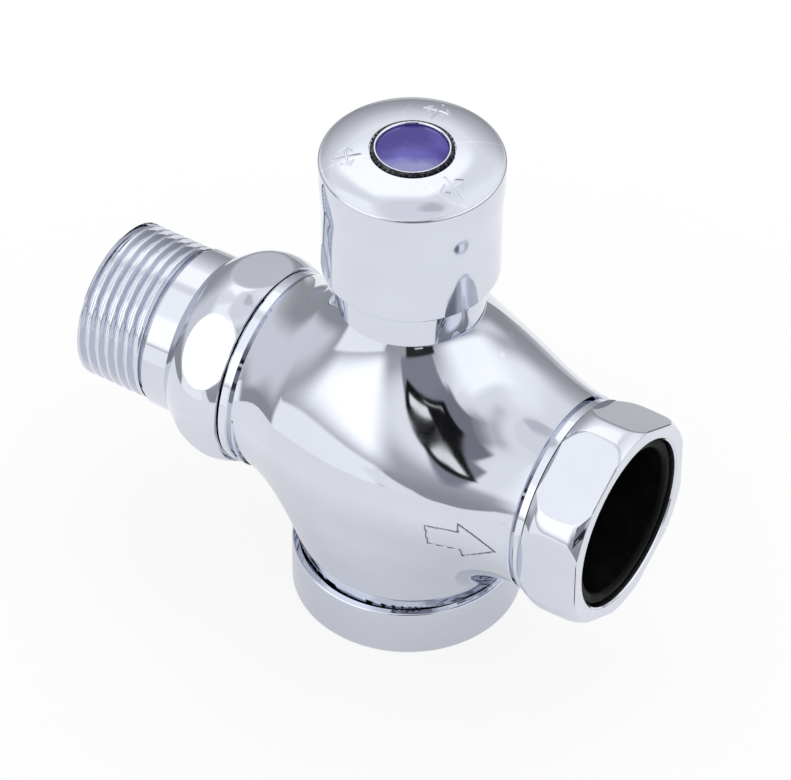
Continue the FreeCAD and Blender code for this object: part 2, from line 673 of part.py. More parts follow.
def make_throttle_bell():
    low = BELL_TOP_Z - BELL_HEIGHT
    web = BELL_TOP_Z - 3.0
    thread_r = THROTTLE_THREAD_R + THREAD_FIT
    bell = revolve_z(polygon([
        (thread_r, web), (BELL_R - 1.7, web), (BELL_R - 1.7, low), (BELL_R, low),
        (BELL_R, BELL_TOP_Z - 0.5), (BELL_R - 0.5, BELL_TOP_Z), (thread_r, BELL_TOP_Z)]))
    key_r = NECK_BORE_R + KEY_REACH
    keys = Part.makeBox(KEY_WIDTH, 2 * key_r, BELL_HEIGHT - 0.5, V(-KEY_WIDTH / 2, -key_r, low))
    return bell.fuse(keys.cut(rod_z(BELL_R - 0.8, low - 1, BELL_TOP_Z))).removeSplitter()


def make_push_stem():
    collar_top = REGULATOR_BOTTOM_Z - 0.3
    points = [(0, STEM_BOTTOM_Z), (STEM_R - 0.4, STEM_BOTTOM_Z), (STEM_R, STEM_BOTTOM_Z + 0.4),
              (STEM_R, collar_top - 1.4), (1.5 * STEM_R, collar_top - 1.4),
              (1.5 * STEM_R, collar_top), (STEM_R, collar_top)]
    for z in stem_ring_levels():
        points += [(STEM_R, z - 0.6), (STEM_R - 0.8, z - 0.6),
                   (STEM_R - 0.8, z + 0.6), (STEM_R, z + 0.6)]
    points += [(STEM_R, CAP_CEILING_Z), (0, CAP_CEILING_Z)]
    stem = revolve_z(polygon(points))
    return stem.cut(rod_z(SCREW_R + RUNNING_FIT, CAP_CEILING_Z - 11, CAP_CEILING_Z + 1))


def stem_ring_levels():
    middle = (BONNET_WEB_Z + BONNET_TOP_Z) / 2
    return middle - 7.5, middle + 7.5


def make_stem_o_rings():
    return Part.makeCompound([torus_z(STEM_R - 0.38, 0.41, z) for z in stem_ring_levels()])


def cap_outline():
    """Half outline of the button from the skirt over the rim to the middle of the dome."""
    return [
        [(BUTTON_R - 0.5, BUTTON_BOTTOM_Z)],
        [(BUTTON_R - 0.5, BUTTON_BOTTOM_Z), (BUTTON_R - 0.15, BUTTON_BOTTOM_Z + 0.15),
         (BUTTON_R, BUTTON_BOTTOM_Z + 0.5)],
        [(BUTTON_R, CREASE_Z - 15.0)],
        [(BUTTON_R, CREASE_Z - 15.0), (BUTTON_R + 0.12, CREASE_Z - 10.3),
         (BUTTON_R + 0.42, CREASE_Z - 6.3), (RIM_R, CREASE_Z - 2.5), (RIM_R, CREASE_Z - 0.1)],
        [(RIM_R, CREASE_Z - 0.1), (RIM_R - 0.1, CREASE_Z + 0.2), (RIM_R - 0.45, CREASE_Z + 0.42)],
        [(RIM_R - 0.45, CREASE_Z + 0.42), (RIM_R - 3.0, CREASE_Z + 1.6)],
        [(RIM_R - 3.0, CREASE_Z + 1.6), (RIM_R - 5.9, CREASE_Z + 2.35), (BEZEL_R + 0.6, CREASE_Z + 2.66),
         (BEZEL_R / 2, DOME_Z + 0.06), (0, DOME_Z + 0.1)],
    ]


def make_button_cap():
    inner_r = BUTTON_R - CAP_WALL
    boss_z = BONNET_TOP_Z + REGULATOR_FLANGE + PRESS_STROKE + 0.6
    shell = revolve_z(cap_outline() + [[(0, CAP_CEILING_Z)], [(inner_r - 1.0, CAP_CEILING_Z)],
                                       [(inner_r, CAP_CEILING_Z - 1.0)], [(inner_r, BUTTON_BOTTOM_Z)]])
    socket = hexagon_z(REGULATOR_R + SLIDING_FIT, boss_z - 1, CAP_CEILING_Z)
    boss = rod_z(BOSS_R, boss_z, CAP_CEILING_Z + 0.5).cut(socket)
    cap = shell.fuse(boss).removeSplitter()
    cap = cap.cut(rod_z(SCREW_R + 0.25, CAP_CEILING_Z - 1, RECESS_FLOOR_Z + 1))
    cap = cap.cut(rod_z(BEZEL_R - 0.55, RECESS_FLOOR_Z, DOME_Z + 2))
    cap = cap.cut(rod_z(BEZEL_R + 0.2, BEZEL_SEAT_Z, DOME_Z + 2))
    dome_low = revolve_z(cap_outline() + [[(0, BUTTON_BOTTOM_Z)]])
    dome_low.translate(V(0, 0, -MARK_DEPTH))
    for mark in cap_marks():
        cap = cap.cut(mark.cut(dome_low))
    return cap


def cap_marks():
    """Three turning marks on the dome, each a radial stroke crossed by a short two-headed arc."""
    z = DOME_Z - 3.0
    up = V(0, 0, 1)
    marks = []
    for k in range(3):
        middle = CAP_MARK_TURN + 120 * k
        inner = on_circle(MARK_ARC_R - 2.8, middle, z)
        marks.append(stroke(inner, on_circle(MARK_ARC_R + 2.8, middle, z), up, MARK_WIDTH, 6))
        marks.append(arc_wall(MARK_ARC_R, middle - MARK_ARC_HALF, middle + MARK_ARC_HALF, z, 6))
        for side in (-1, 1):
            head = on_circle(MARK_ARC_R, middle + side * (MARK_ARC_HALF + 1), z)
            for offset in (-1.1, 1.1):
                barb = on_circle(MARK_ARC_R + offset, middle + side * (MARK_ARC_HALF - 4.5), z)
                marks.append(stroke(barb, head, up, MARK_WIDTH, 6))
    return marks


def on_circle(r, degrees, z):
    return V(r * math.cos(math.radians(degrees)), r * math.sin(math.radians(degrees)), z)


def arc_wall(r, start, end, z, height):
    """Curved wall of one mark width, upright on a circle."""
    outer = Part.makeCylinder(r + MARK_WIDTH / 2, height, V(0, 0, z), V(0, 0, 1), end - start)
    inner = Part.makeCylinder(r - MARK_WIDTH / 2, height, V(0, 0, z), V(0, 0, 1), end - start)
    wall = outer.cut(inner)
    wall.rotate(V(0, 0, 0), V(0, 0, 1), start)
    return wall


def make_index_bezel():
    """Toothed ring pressed into the top of the button."""
    sleeve_r = BEZEL_R - 0.6
    top = BEZEL_SEAT_Z + 0.95
    ring = revolve_z([
        [(sleeve_r - 1.4, RECESS_FLOOR_Z), (sleeve_r, RECESS_FLOOR_Z)],
        [(sleeve_r, BEZEL_SEAT_Z)],
        [(BEZEL_R, BEZEL_SEAT_Z)],
        [(BEZEL_R, top - 0.35)],
        [(BEZEL_R - 0.45, top)],
        [(BEZEL_R - 0.8, top)],
        [(LENS_R, top - 0.4)],
        [(LENS_R, LENS_LEDGE_Z)],
        [(sleeve_r - 1.4, LENS_LEDGE_Z)],
    ])
    inner = V(BEZEL_R - 0.42, 0, 0)
    notch = Part.makePolygon([inner, V(BEZEL_R + 0.6, -0.62, 0), V(BEZEL_R + 0.6, 0.62, 0), inner])
    tool = Part.Face(notch).extrude(V(0, 0, 2))
    tool.translate(V(0, 0, BEZEL_SEAT_Z - 0.5))
    tools = []
    for k in range(BEZEL_TEETH):
        tooth = tool.copy()
        tooth.rotate(V(0, 0, 0), V(0, 0, 1), 360.0 * k / BEZEL_TEETH)
        tools.append(tooth)
    return ring.cut(Part.makeCompound(tools))


def make_index_disc():
    return rod_z(LENS_R - 0.05, LENS_LEDGE_Z, LENS_LEDGE_Z + INDEX_DISC)


def make_index_lens():
    """Clear disc with a ball-shaped top."""
    r = LENS_R - 0.05
    low = LENS_LEDGE_Z + INDEX_DISC
    edge = BEZEL_SEAT_Z + 0.35
    ball_r = (r * r + LENS_RISE ** 2) / (2 * LENS_RISE)
    ball = Part.makeSphere(ball_r, V(0, 0, edge + LENS_RISE - ball_r))
    return rod_z(r, low, edge + 2 * LENS_RISE).common(ball)


def make_cap_screw():
    head_z = RECESS_FLOOR_Z + 0.5
    head = ring_z(0, 3.3, head_z, head_z + HEAD_HEIGHT, 0.3)
    shank = rod_z(SCREW_R, CAP_CEILING_Z - 10, head_z + 0.5)
    return head.fuse(shank).removeSplitter().cut(hexagon_z(1.25, head_z + 0.4, head_z + 3))


def make_screw_washer():
    return ring_z(SCREW_R + 0.15, 3.9, RECESS_FLOOR_Z, RECESS_FLOOR_Z + 0.5)


def make_button_spring():
    mean = (BOSS_R + BUTTON_R - CAP_WALL) / 2
    return helical_spring(mean, SPRING_WIRE_R, BONNET_TOP_Z + REGULATOR_FLANGE, CAP_CEILING_Z, 4)


def make_piston_body():
    seal_low = SEAT_Z - SEAL_THICKNESS
    shoulder_low = CUP_BASE_Z + 2.2
    points = [(PILOT_CAVITY_R, HUB_BOTTOM_Z), (HUB_R, HUB_BOTTOM_Z), (HUB_R, shoulder_low),
              (HUB_R + 2, shoulder_low), (HUB_R + 2, seal_low - 3.5), (PISTON_DISK_R, seal_low - 3.5),
              (PISTON_DISK_R, seal_low), (PISTON_SPIGOT_R, seal_low), (PISTON_SPIGOT_R, SEAT_Z + 2.0),
              (PILOT_BORE_R, SEAT_Z + 2.0), (PILOT_BORE_R, PILOT_SEAT_Z),
              (PILOT_BORE_R + 0.7, PILOT_SEAT_Z), (PILOT_BORE_R + 0.9, PILOT_SEAT_Z + 0.6),
              (PILOT_CAVITY_R, PILOT_SEAT_Z + 0.6)]
    body = revolve_z(polygon(points))
    z = orifice_level()
    radial = Part.makeCylinder(ORIFICE_SHANK_R, 2.6, V(0, -HUB_R - 2.2, z), V(0, 1, 0))
    head = Part.makeCylinder(ORIFICE_HEAD_R, 1.2, V(0, -HUB_R - 2.2, z), V(0, 1, 0))
    feed = Part.makeCylinder(0.7, 5.0, V(0, -HUB_R - 0.5, z), V(0, 1, 0))
    drop_r = (HUB_R + PILOT_CAVITY_R) / 2
    drop = Part.makeCylinder(0.7, z - HUB_BOTTOM_Z + 1, V(0, -drop_r, HUB_BOTTOM_Z - 1), V(0, 0, 1))
    feed = feed.common(Part.makeBox(4, HUB_R + 3 - drop_r, 4, V(-2, -HUB_R - 3, z - 2)))
    return cut_all(body, [radial, head, feed, drop])


def orifice_level():
    return CUP_BASE_Z + 4.6


def make_main_seal():
    return ring_z(PISTON_SPIGOT_R + RUNNING_FIT, PISTON_DISK_R, SEAT_Z - SEAL_THICKNESS, SEAT_Z, 0.3)


def make_seal_retainer():
    nut = hexagon_z(SEAT_R - 3.0, SEAT_Z, SEAT_Z + 2.5)
    nut = nut.common(ring_z(0, SEAT_R - 2.2, SEAT_Z, SEAT_Z + 2.5, 0.4))
    return nut.cut(rod_z(PISTON_SPIGOT_R + RUNNING_FIT, SEAT_Z - 1, SEAT_Z + 4))


def make_cup_seal():
    """Rubber cup with its lip turned up against the chamber wall."""
    lip_r = CHAMBER_R - RUNNING_FIT
    top = CUP_BASE_Z + CUP_HEIGHT
    return revolve_z(polygon([
        (HUB_R + RUNNING_FIT, CUP_BASE_Z), (lip_r - 2.0, CUP_BASE_Z), (lip_r - 0.6, CUP_BASE_Z + 1.2),
        (lip_r, top - 0.6), (lip_r - 0.3, top), (lip_r - 1.0, top - 0.1), (lip_r - 2.4, CUP_BASE_Z + 2.2),
        (HUB_R + RUNNING_FIT, CUP_BASE_Z + 2.2)]))


def make_cup_retainer():
    low = CUP_BASE_Z - CUP_RETAINER
    ring = ring_z(HUB_R + RUNNING_FIT, CHAMBER_R - 2.5, low, CUP_BASE_Z, 0.4)
    spots = [on_circle(CHAMBER_R - 4.2, 45 + 90 * k, low - 0.5) for k in range(4)]
    return cut_all(ring, [Part.makeCylinder(0.8, 1.2, spot) for spot in spots])


def make_orifice_screw():
    z = orifice_level()
    face_y = -HUB_R - 1.75
    shank = Part.makeCylinder(ORIFICE_SHANK_R - 0.03, 2.1, V(0, face_y, z), V(0, 1, 0))
    head = Part.makeCylinder(ORIFICE_HEAD_R - RUNNING_FIT, 0.75, V(0, face_y, z), V(0, 1, 0))
    bleed = Part.makeCylinder(0.3, 4, V(0, -HUB_R - 2.6, z), V(0, 1, 0))
    slot = Part.makeBox(4.4, 0.4, 0.5, V(-2.2, face_y - 0.05, z - 0.25))
    return cut_all(head.fuse(shank).removeSplitter(), [bleed, slot])


def make_orifice_filter():
    """Slitted band round the piston over the bleed hole."""
    low = CUP_BASE_Z + 2.3
    high = SEAT_Z - SEAL_THICKNESS - 3.6
    band = ring_z(HUB_R + 2.05, HUB_R + 2.95, low, high)
    slits = []
    for k in range(FILTER_SLITS):
        slit = Part.makeBox(2.5, 0.5, high - low - 1.4, V(HUB_R + 1.5, -0.25, low + 0.7))
        slit.rotate(V(0, 0, 0), V(0, 0, 1), 360.0 * (k + 0.5) / FILTER_SLITS)
        slits.append(slit)
    return band.cut(Part.makeCompound(slits))


def make_piston_spring():
    mean = (HUB_R + CHAMBER_R) / 2 - 1.4
    return helical_spring(mean, SPRING_WIRE_R, CAP_FLOOR_Z, CUP_BASE_Z - CUP_RETAINER, 3.5)


def make_pilot_pin():
    seal_low = PILOT_SEAT_Z - PILOT_SEAL
    return revolve_z(polygon([
        (0, seal_low - 2.6), (PILOT_CAVITY_R - 2.4, seal_low - 2.6), (PILOT_CAVITY_R - 2.4, seal_low - 1.6),
        (PILOT_CAVITY_R - 0.9, seal_low - 1.6), (PILOT_CAVITY_R - 0.9, seal_low), (PILOT_PIN_R, seal_low),
        (PILOT_PIN_R, STEM_BOTTOM_Z - 0.7), (PILOT_PIN_R - 0.4, STEM_BOTTOM_Z - 0.3),
        (0, STEM_BOTTOM_Z - 0.3)]))


def make_pilot_seal():
    return ring_z(PILOT_PIN_R, PILOT_CAVITY_R - 1.0, PILOT_SEAT_Z - PILOT_SEAL, PILOT_SEAT_Z, 0.1)


def make_pilot_spring():
    low = HUB_BOTTOM_Z + 1.5
    high = PILOT_SEAT_Z - PILOT_SEAL - 1.6
    return helical_spring(PILOT_CAVITY_R - 1.7, 0.35, low, high, 2.5)


def make_pilot_retainer():
    disk = ring_z(0, PILOT_CAVITY_R - 0.02, HUB_BOTTOM_Z + 0.3, HUB_BOTTOM_Z + 1.5)
    spots = [on_circle(PILOT_CAVITY_R / 2, 60 + 120 * k, HUB_BOTTOM_Z - 0.5) for k in range(3)]
    return cut_all(disk, [Part.makeCylinder(1.0, 3, spot) for spot in spots])


NODES = {
    "valve_body": make_valve_body,
    "inlet_nipple": make_inlet_nipple,
    "inlet_gasket": make_inlet_gasket,
    "bottom_cap": make_bottom_cap,
    "bottom_cap_o_ring": make_bottom_cap_o_ring,
    "bonnet": make_bonnet,
    "bonnet_o_ring": make_bonnet_o_ring,
    "outlet_nut": make_outlet_nut,
    "push_ring": make_push_ring,
    "outlet_seal": make_outlet_seal,
    "regulator_sleeve": make_regulator_sleeve,
    "regulator_o_rings": make_regulator_o_rings,
    "retaining_clip": make_retaining_clip,
    "throttle_bell": make_throttle_bell,
    "push_stem": make_push_stem,
    "stem_o_rings": make_stem_o_rings,
    "button_cap": make_button_cap,
    "index_bezel": make_index_bezel,
    "index_disc": make_index_disc,
    "index_lens": make_index_lens,
    "cap_screw": make_cap_screw,
    "screw_washer": make_screw_washer,
    "button_spring": make_button_spring,
    "piston_body": make_piston_body,
    "main_seal": make_main_seal,
    "seal_retainer": make_seal_retainer,
    "cup_seal": make_cup_seal,
    "cup_retainer": make_cup_retainer,
    "orifice_screw": make_orifice_screw,
    "orifice_filter": make_orifice_filter,
    "piston_spring": make_piston_spring,
    "pilot_pin": make_pilot_pin,
    "pilot_seal": make_pilot_seal,
    "pilot_spring": make_pilot_spring,
    "pilot_retainer": make_pilot_retainer,
}


def main():
    os.makedirs("parts", exist_ok=True)
    for name, make in NODES.items():
        make().exportStep("parts/" + name + ".step")


if __name__ == "__main__":
    main()
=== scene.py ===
import json
import math
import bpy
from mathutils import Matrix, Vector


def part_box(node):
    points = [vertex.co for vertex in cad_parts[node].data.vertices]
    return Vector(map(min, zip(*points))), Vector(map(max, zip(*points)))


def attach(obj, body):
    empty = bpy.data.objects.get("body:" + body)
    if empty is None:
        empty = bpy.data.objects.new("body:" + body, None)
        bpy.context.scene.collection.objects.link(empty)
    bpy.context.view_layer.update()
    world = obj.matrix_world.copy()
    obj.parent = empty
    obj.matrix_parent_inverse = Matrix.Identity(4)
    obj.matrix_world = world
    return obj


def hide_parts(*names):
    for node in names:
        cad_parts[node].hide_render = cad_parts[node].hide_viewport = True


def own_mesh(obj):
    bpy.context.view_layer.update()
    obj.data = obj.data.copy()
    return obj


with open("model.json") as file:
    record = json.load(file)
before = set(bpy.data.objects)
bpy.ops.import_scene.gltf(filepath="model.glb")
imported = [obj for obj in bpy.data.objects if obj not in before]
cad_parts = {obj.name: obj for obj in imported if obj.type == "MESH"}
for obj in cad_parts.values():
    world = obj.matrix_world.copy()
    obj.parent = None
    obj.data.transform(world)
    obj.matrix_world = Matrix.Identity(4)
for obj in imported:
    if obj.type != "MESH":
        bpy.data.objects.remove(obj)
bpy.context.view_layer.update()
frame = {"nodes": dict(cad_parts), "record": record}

from types import SimpleNamespace

import bmesh
import bpy
import numpy as np
from mathutils import Matrix, Vector

bl_info = {
    "name": "Push-button flush valve",
    "version": (1, 0, 0),
    "blender": (4, 5, 0),
    "location": "3D View > Sidebar > Valve",
    "description": "Builds the visible pieces of a flush valve round its packed frame",
    "category": "Object",
}

MM = 0.001
NODES = frame["nodes"]
PLATED_OVER_BRASS = ("plated metal", "turned brass")
# Point that the camera looks at, in metres
LOOK_AT = (-0.00326, 0.0, 0.0492)


# Settings

def size(name, default, note):
    """A length in metres that a user may change."""
    return bpy.props.FloatProperty(name=name, description=note, default=default, min=0.0,
                                   unit="LENGTH", subtype="DISTANCE", precision=5)


def colour(name, default, note):
    """A surface colour that a user may change."""
    return bpy.props.FloatVectorProperty(name=name, description=note, default=default, size=3,
                                         min=0.0, max=1.0, subtype="COLOR")


def share(name, default, note, low=0.0, high=1.0):
    """A plain number that a user may change."""
    return bpy.props.FloatProperty(name=name, description=note, default=default, min=low, max=high)


def middle(node, axis):
    low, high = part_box(node)
    return (low[axis] + high[axis]) / 2


class ValveSizes(bpy.types.PropertyGroup):
    """Sizes of the visible pieces, read from the frame where it gives them."""
    pipe_axis: size("Pipe axis height", middle("outlet_nut", 2), "Height of the pipe axis above the base")
    pipe_radius: size("Pipe radius", 0.0197, "Radius of both branches outside")
    bowl_radius: size("Bowl radius", 0.0237, "Largest radius of the upright part")
    inlet_collar: size("Inlet collar", -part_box("inlet_gasket")[1].x, "Reach of the inlet collar")
    outlet_collar: size("Outlet collar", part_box("outlet_nut")[0].x - 0.0005, "Reach of the outlet collar")
    button_radius: size("Button radius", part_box("button_cap")[1].x - 0.00055, "Radius of its plain wall")
    button_bottom: size("Button underside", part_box("button_cap")[0].z, "Height of the button's lower edge")
    button_crease: size("Button crease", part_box("button_cap")[1].z - 0.00285, "Height under the lip")
    thread_radius: size("Thread radius", 0.016625, "Radius over the crests of the inlet thread")
    thread_pitch: size("Thread pitch", 0.002309, "Pitch of the inlet thread")
    mark_width: size("Mark width", 0.00035, "Width of the engraved lines")
    mark_depth: size("Mark depth", 0.00025, "Depth of the engraved lines")
    soft_edge: size("Edge easing", 0.00014, "Radius that polishing leaves on a sharp edge")


class ValveFinishes(bpy.types.PropertyGroup):
    """Colours of the finishes."""
    plating: colour("Plating", (0.665, 0.69, 0.765), "Bright plated metal")
    brass: colour("Brass", (0.70, 0.52, 0.26), "Machined metal inside")
    steel: colour("Steel", (0.58, 0.58, 0.60), "Springs, clip and screw")
    rubber: colour("Rubber", (0.004, 0.004, 0.0045), "Seals and sleeve")
    nylon: colour("Nylon", (0.82, 0.81, 0.76), "Piston and filter")
    index: colour("Index disc", (0.045, 0.03, 0.27), "Disc under the lens")
    lens: colour("Lens", (0.125, 0.10, 0.50), "Tint of the lens")
    shine: share("Plating roughness", 0.045, "Lower is more like a mirror")


class ValveStage(bpy.types.PropertyGroup):
    """Floor, light and camera."""
    floor: colour("Floor", (0.92, 0.92, 0.93), "Colour of the floor")
    room: share("Room level", 0.78, "Level of the light on surfaces that don't mirror", 0.0, 3.0)
    azimuth: share("Camera azimuth", 31.99, "Degrees round the object", -180.0, 180.0)
    elevation: share("Camera elevation", 43.66, "Degrees above the floor", -89.0, 89.0)
    roll: share("Camera roll", 0.61, "Degrees of tilt of the camera", -45.0, 45.0)
    distance: size("Camera distance", 1.15725, "From the point that the camera looks at")
    lens: share("Lens", 264.49, "Focal length in mm on a 36 mm wide picture", 20.0, 600.0)


def plan():
    """All sizes in mm, with those that follow from the settings."""
    s = bpy.context.scene.valve_sizes
    d = SimpleNamespace()
    d.axis = s.pipe_axis / MM
    d.pipe_r = s.pipe_radius / MM
    d.bowl_r = s.bowl_radius / MM
    d.inlet_x = -s.inlet_collar / MM
    d.hex_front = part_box("inlet_gasket")[0].x / MM
    d.outlet_x = s.outlet_collar / MM
    d.button_r = s.button_radius / MM
    d.button_low = s.button_bottom / MM
    d.crease = s.button_crease / MM
    d.thread_r = s.thread_radius / MM
    d.pitch = s.thread_pitch / MM
    d.mark_width = s.mark_width / MM
    d.mark_depth = s.mark_depth / MM
    d.soft = s.soft_edge / MM
    d.cap_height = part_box("bottom_cap")[1].z / MM
    d.shoulder = d.cap_height - 1.3
    d.neck_top = d.button_low - 9.1
    d.bonnet_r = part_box("bonnet")[1].x / MM
    d.belly = d.axis - 4.5
    d.neck_end = d.axis + 41.5
    d.neck_r = d.bonnet_r - 3.2
    d.bowl_low = d.cap_height + 0.7
    d.bowl_low_r = d.bowl_r - 2.1
    d.spigot_r = d.pipe_r - 0.7
    d.nut_back = d.outlet_x + 0.5
    d.nut_front = d.nut_back + 12.7
    d.nut_lip = 2.74
    d.connector_reach, d.thread_length, d.hexagon_length = 36.9, 15.2, 14.9
    d.nut_hole_r = d.spigot_r - 1.05
    d.index_seat = d.crease + 2.3
    d.ring_r, d.lens_r, d.ring_teeth = 8.26, 7.06, 44
    d.trim_inlet = d.inlet_x + 3.3
    d.trim_outlet = d.outlet_x - 2.25
    d.arrow_start = d.outlet_x - 19.2
    d.arrow_axis = d.axis - 0.7
    return d


# Outlines: rows of (radius or distance, height) with their outward directions

def unit(v):
    return v / np.maximum(np.linalg.norm(v, axis=-1, keepdims=True), 1e-12)


def smooth_curve(points, step=0.25):
    """Natural cubic curve through the points; gives points and their directions."""
    p = np.array(points, float)
    t = np.concatenate([[0], np.cumsum(np.linalg.norm(np.diff(p, axis=0), axis=1))])
    n = len(t)
    h = np.diff(t)
    m = np.eye(n)
    rhs = np.zeros((n, 2))
    for i in range(1, n - 1):
        m[i, i - 1:i + 2] = h[i - 1], 2 * (h[i - 1] + h[i]), h[i]
        rhs[i] = 6 * ((p[i + 1] - p[i]) / h[i] - (p[i] - p[i - 1]) / h[i - 1])
    bend = np.linalg.solve(m, rhs)
    at = np.linspace(0, t[-1], max(int(t[-1] / step), 8) + 1)
    i = np.clip(np.searchsorted(t, at, side="right") - 1, 0, n - 2)
    a = (t[i + 1] - at)[:, None]
    b = (at - t[i])[:, None]
    g = h[i][:, None]
    place = (bend[i] * a ** 3 + bend[i + 1] * b ** 3) / (6 * g)
    place += (p[i] / g - bend[i] * g / 6) * a + (p[i + 1] / g - bend[i + 1] * g / 6) * b
    along = (bend[i + 1] * b ** 2 - bend[i] * a ** 2) / (2 * g)
    along += (p[i + 1] - p[i]) / g - (bend[i + 1] - bend[i]) * g / 6
    return place, unit(along)


def arc_through(a, b, c):
    """Arc from a over b to c; gives points and their directions."""
    (ax, ay), (bx, by), (cx, cy) = a, b, c
    d = 2 * (ax * (by - cy) + bx * (cy - ay) + cx * (ay - by))
    sq = [x * x + y * y for x, y in (a, b, c)]
    centre = np.array(((sq[0] * (by - cy) + sq[1] * (cy - ay) + sq[2] * (ay - by)) / d,
                       (sq[0] * (cx - bx) + sq[1] * (ax - cx) + sq[2] * (bx - ax)) / d))
    r = np.hypot(*(np.array(a) - centre))
    angles = [math.atan2(y - centre[1], x - centre[0]) for x, y in (a, b, c)]
    turn = (angles[2] - angles[0]) % (2 * math.pi)
    if (angles[1] - angles[0]) % (2 * math.pi) > turn:
        turn -= 2 * math.pi
    at = angles[0] + turn * np.linspace(0, 1, max(int(abs(turn) / 0.12), 4) + 1)
    way = math.copysign(1, turn)
    circle = np.stack([np.cos(at), np.sin(at)], 1)
    return centre + r * circle, way * np.stack([-circle[:, 1], circle[:, 0]], 1)


def straight(a, b):
    """Line from a to b; gives its two points and their directions."""
    line = np.array([a, b])
    return line, unit(np.diff(line, axis=0)).repeat(2, 0)


def outline(pieces, soft, closed=True):
    """Rows of points and outward directions. One point: line to it; two: line; three: arc; more: smooth
    curve. Corners are eased by the soft radius."""
    runs = []
    last = None
    for piece in pieces:
        piece = [tuple(map(float, p)) for p in piece]
        if last is not None and math.dist(last, piece[0]) > 1e-6:
            runs.append(straight(last, piece[0]))
        if len(piece) == 2:
            runs.append(straight(*piece))
        elif len(piece) == 3:
            runs.append(arc_through(*piece))
        elif len(piece) > 3:
            runs.append(smooth_curve(piece))
        last = piece[-1]
    first = tuple(map(float, pieces[0][0]))
    if closed and math.dist(last, first) > 1e-6:
        runs.append(straight(last, first))
    points, along = [], []
    count = len(runs)
    for i, (p, t) in enumerate(runs):
        p = p.copy()
        length = np.linalg.norm(np.diff(p, axis=0), axis=1).sum()
        trims = []
        for end in (0, 1):
            j = i - 1 + 2 * end
            if not closed and not 0 <= j < count:
                trims.append(0.0)
                continue
            other = runs[j % count]
            d1, d2 = (other[1][-1], t[0]) if end == 0 else (t[-1], other[1][0])
            turn = math.acos(max(-1.0, min(1.0, float(d1 @ d2))))
            trims.append(min(soft * math.tan(min(turn, 2.8) / 2), 0.4 * length) if turn > 0.05 else 0.0)
        walked = np.concatenate([[0], np.cumsum(np.linalg.norm(np.diff(p, axis=0), axis=1))])
        keep = (walked > trims[0] + 1e-9) & (walked < walked[-1] - trims[1] - 1e-9)
        ends = [np.array([np.interp(w, walked, p[:, k]) for k in (0, 1)])
                for w in (trims[0], walked[-1] - trims[1])]
        points.append(np.concatenate([[ends[0]], p[keep], [ends[1]]]))
        along.append(np.concatenate([[t[0]], t[keep], [t[-1]]]))
    rows, ways = [], []
    for i in range(count):
        rows.append(points[i])
        ways.append(along[i])
        j = (i + 1) % count
        if not closed and i == count - 1:
            break
        start, stop = points[i][-1], points[j][0]
        d1, d2 = along[i][-1], along[j][0]
        if math.dist(start, stop) < 1e-7:
            continue
        corner = start + d1 * (np.linalg.norm(stop - start) / 2 / max(np.linalg.norm(d1 + d2) / 2, 0.05))
        for f in np.arange(1, 6) / 6:
            rows.append(((1 - f) ** 2 * start + 2 * f * (1 - f) * corner + f * f * stop)[None])
            ways.append(unit((1 - f) * d1 + f * d2)[None])
    rows = np.concatenate(rows)
    ways = np.concatenate(ways)
    fresh = np.concatenate([[True], (np.linalg.norm(np.diff(rows, axis=0), axis=1) > 1e-7)
                            | (np.abs(np.diff(ways, axis=0)).sum(1) > 1e-4)])
    rows, ways = rows[fresh], ways[fresh]
    loop = np.concatenate([rows, rows[:1]])
    area = np.sum(loop[:-1, 0] * loop[1:, 1] - loop[1:, 0] * loop[:-1, 1])
    side = 1 if area > 0 else -1
    if closed:
        rows = np.concatenate([rows, rows[:1]])
        ways = np.concatenate([ways, ways[:1]])
    return rows, side * np.stack([ways[:, 1], -ways[:, 0]], 1)


# Surfaces: grids of points and directions, joined into meshes

def around(count):
    """Equal angles round a full turn."""
    return np.arange(count) * 2 * math.pi / count


def grid_faces(rows, columns):
    """Four-sided faces of a grid that closes on itself, row by row."""
    i, j = np.meshgrid(np.arange(rows - 1), np.arange(columns), indexing="ij")
    k = (j + 1) % columns
    return np.stack([i * columns + j, i * columns + k, (i + 1) * columns + k, (i + 1) * columns + j],
                    -1).reshape(-1, 4)


def patch(points, normals):
    """A grid as one surface; faces that shrink to nothing are dropped and turned the right way out."""
    faces = grid_faces(*points.shape[:2])
    p = points.reshape(-1, 3)
    n = normals.reshape(-1, 3)
    a, b, c, d = (p[faces[:, k]] for k in range(4))
    across = np.cross(c - a, d - b)
    area = np.linalg.norm(across, axis=1)
    facing = np.einsum("ij,ij->i", across, n[faces].sum(1))
    if facing.sum() < 0:
        faces = faces[:, ::-1]
    return p, n, faces[area > 1e-9], 0


def turned_z(rows, columns):
    """Outline of (radius, height) turned about the upright axis."""
    phi = around(columns)
    place, away = (np.stack([v[:, :1] * np.cos(phi), v[:, :1] * np.sin(phi), v[:, 1:] + 0 * phi], -1)
                   for v in rows)
    return patch(place, away)


def turned_x(rows, columns, axis_z):
    """Outline of (distance along the pipe, radius) turned about the pipe axis."""
    phi = around(columns)
    place, away = (np.stack([v[:, :1] + 0 * phi, v[:, 1:] * np.cos(phi), v[:, 1:] * np.sin(phi)], -1)
                   for v in rows)
    return patch(place + np.array((0.0, 0.0, axis_z)), away)


def facing(rows, way):
    """Turns the directions of an open outline to the side of a given direction."""
    return rows[0], rows[1] * np.where(rows[1] @ np.array(way) > 0, 1, -1)[:, None]


def facing_out(rows, centre):
    """Turns the directions of an open outline away from a point inside it."""
    out = rows[1]
    return rows[0], out * np.where((out * (rows[0] - np.array(centre))).sum(1) < 0, -1, 1)[:, None]


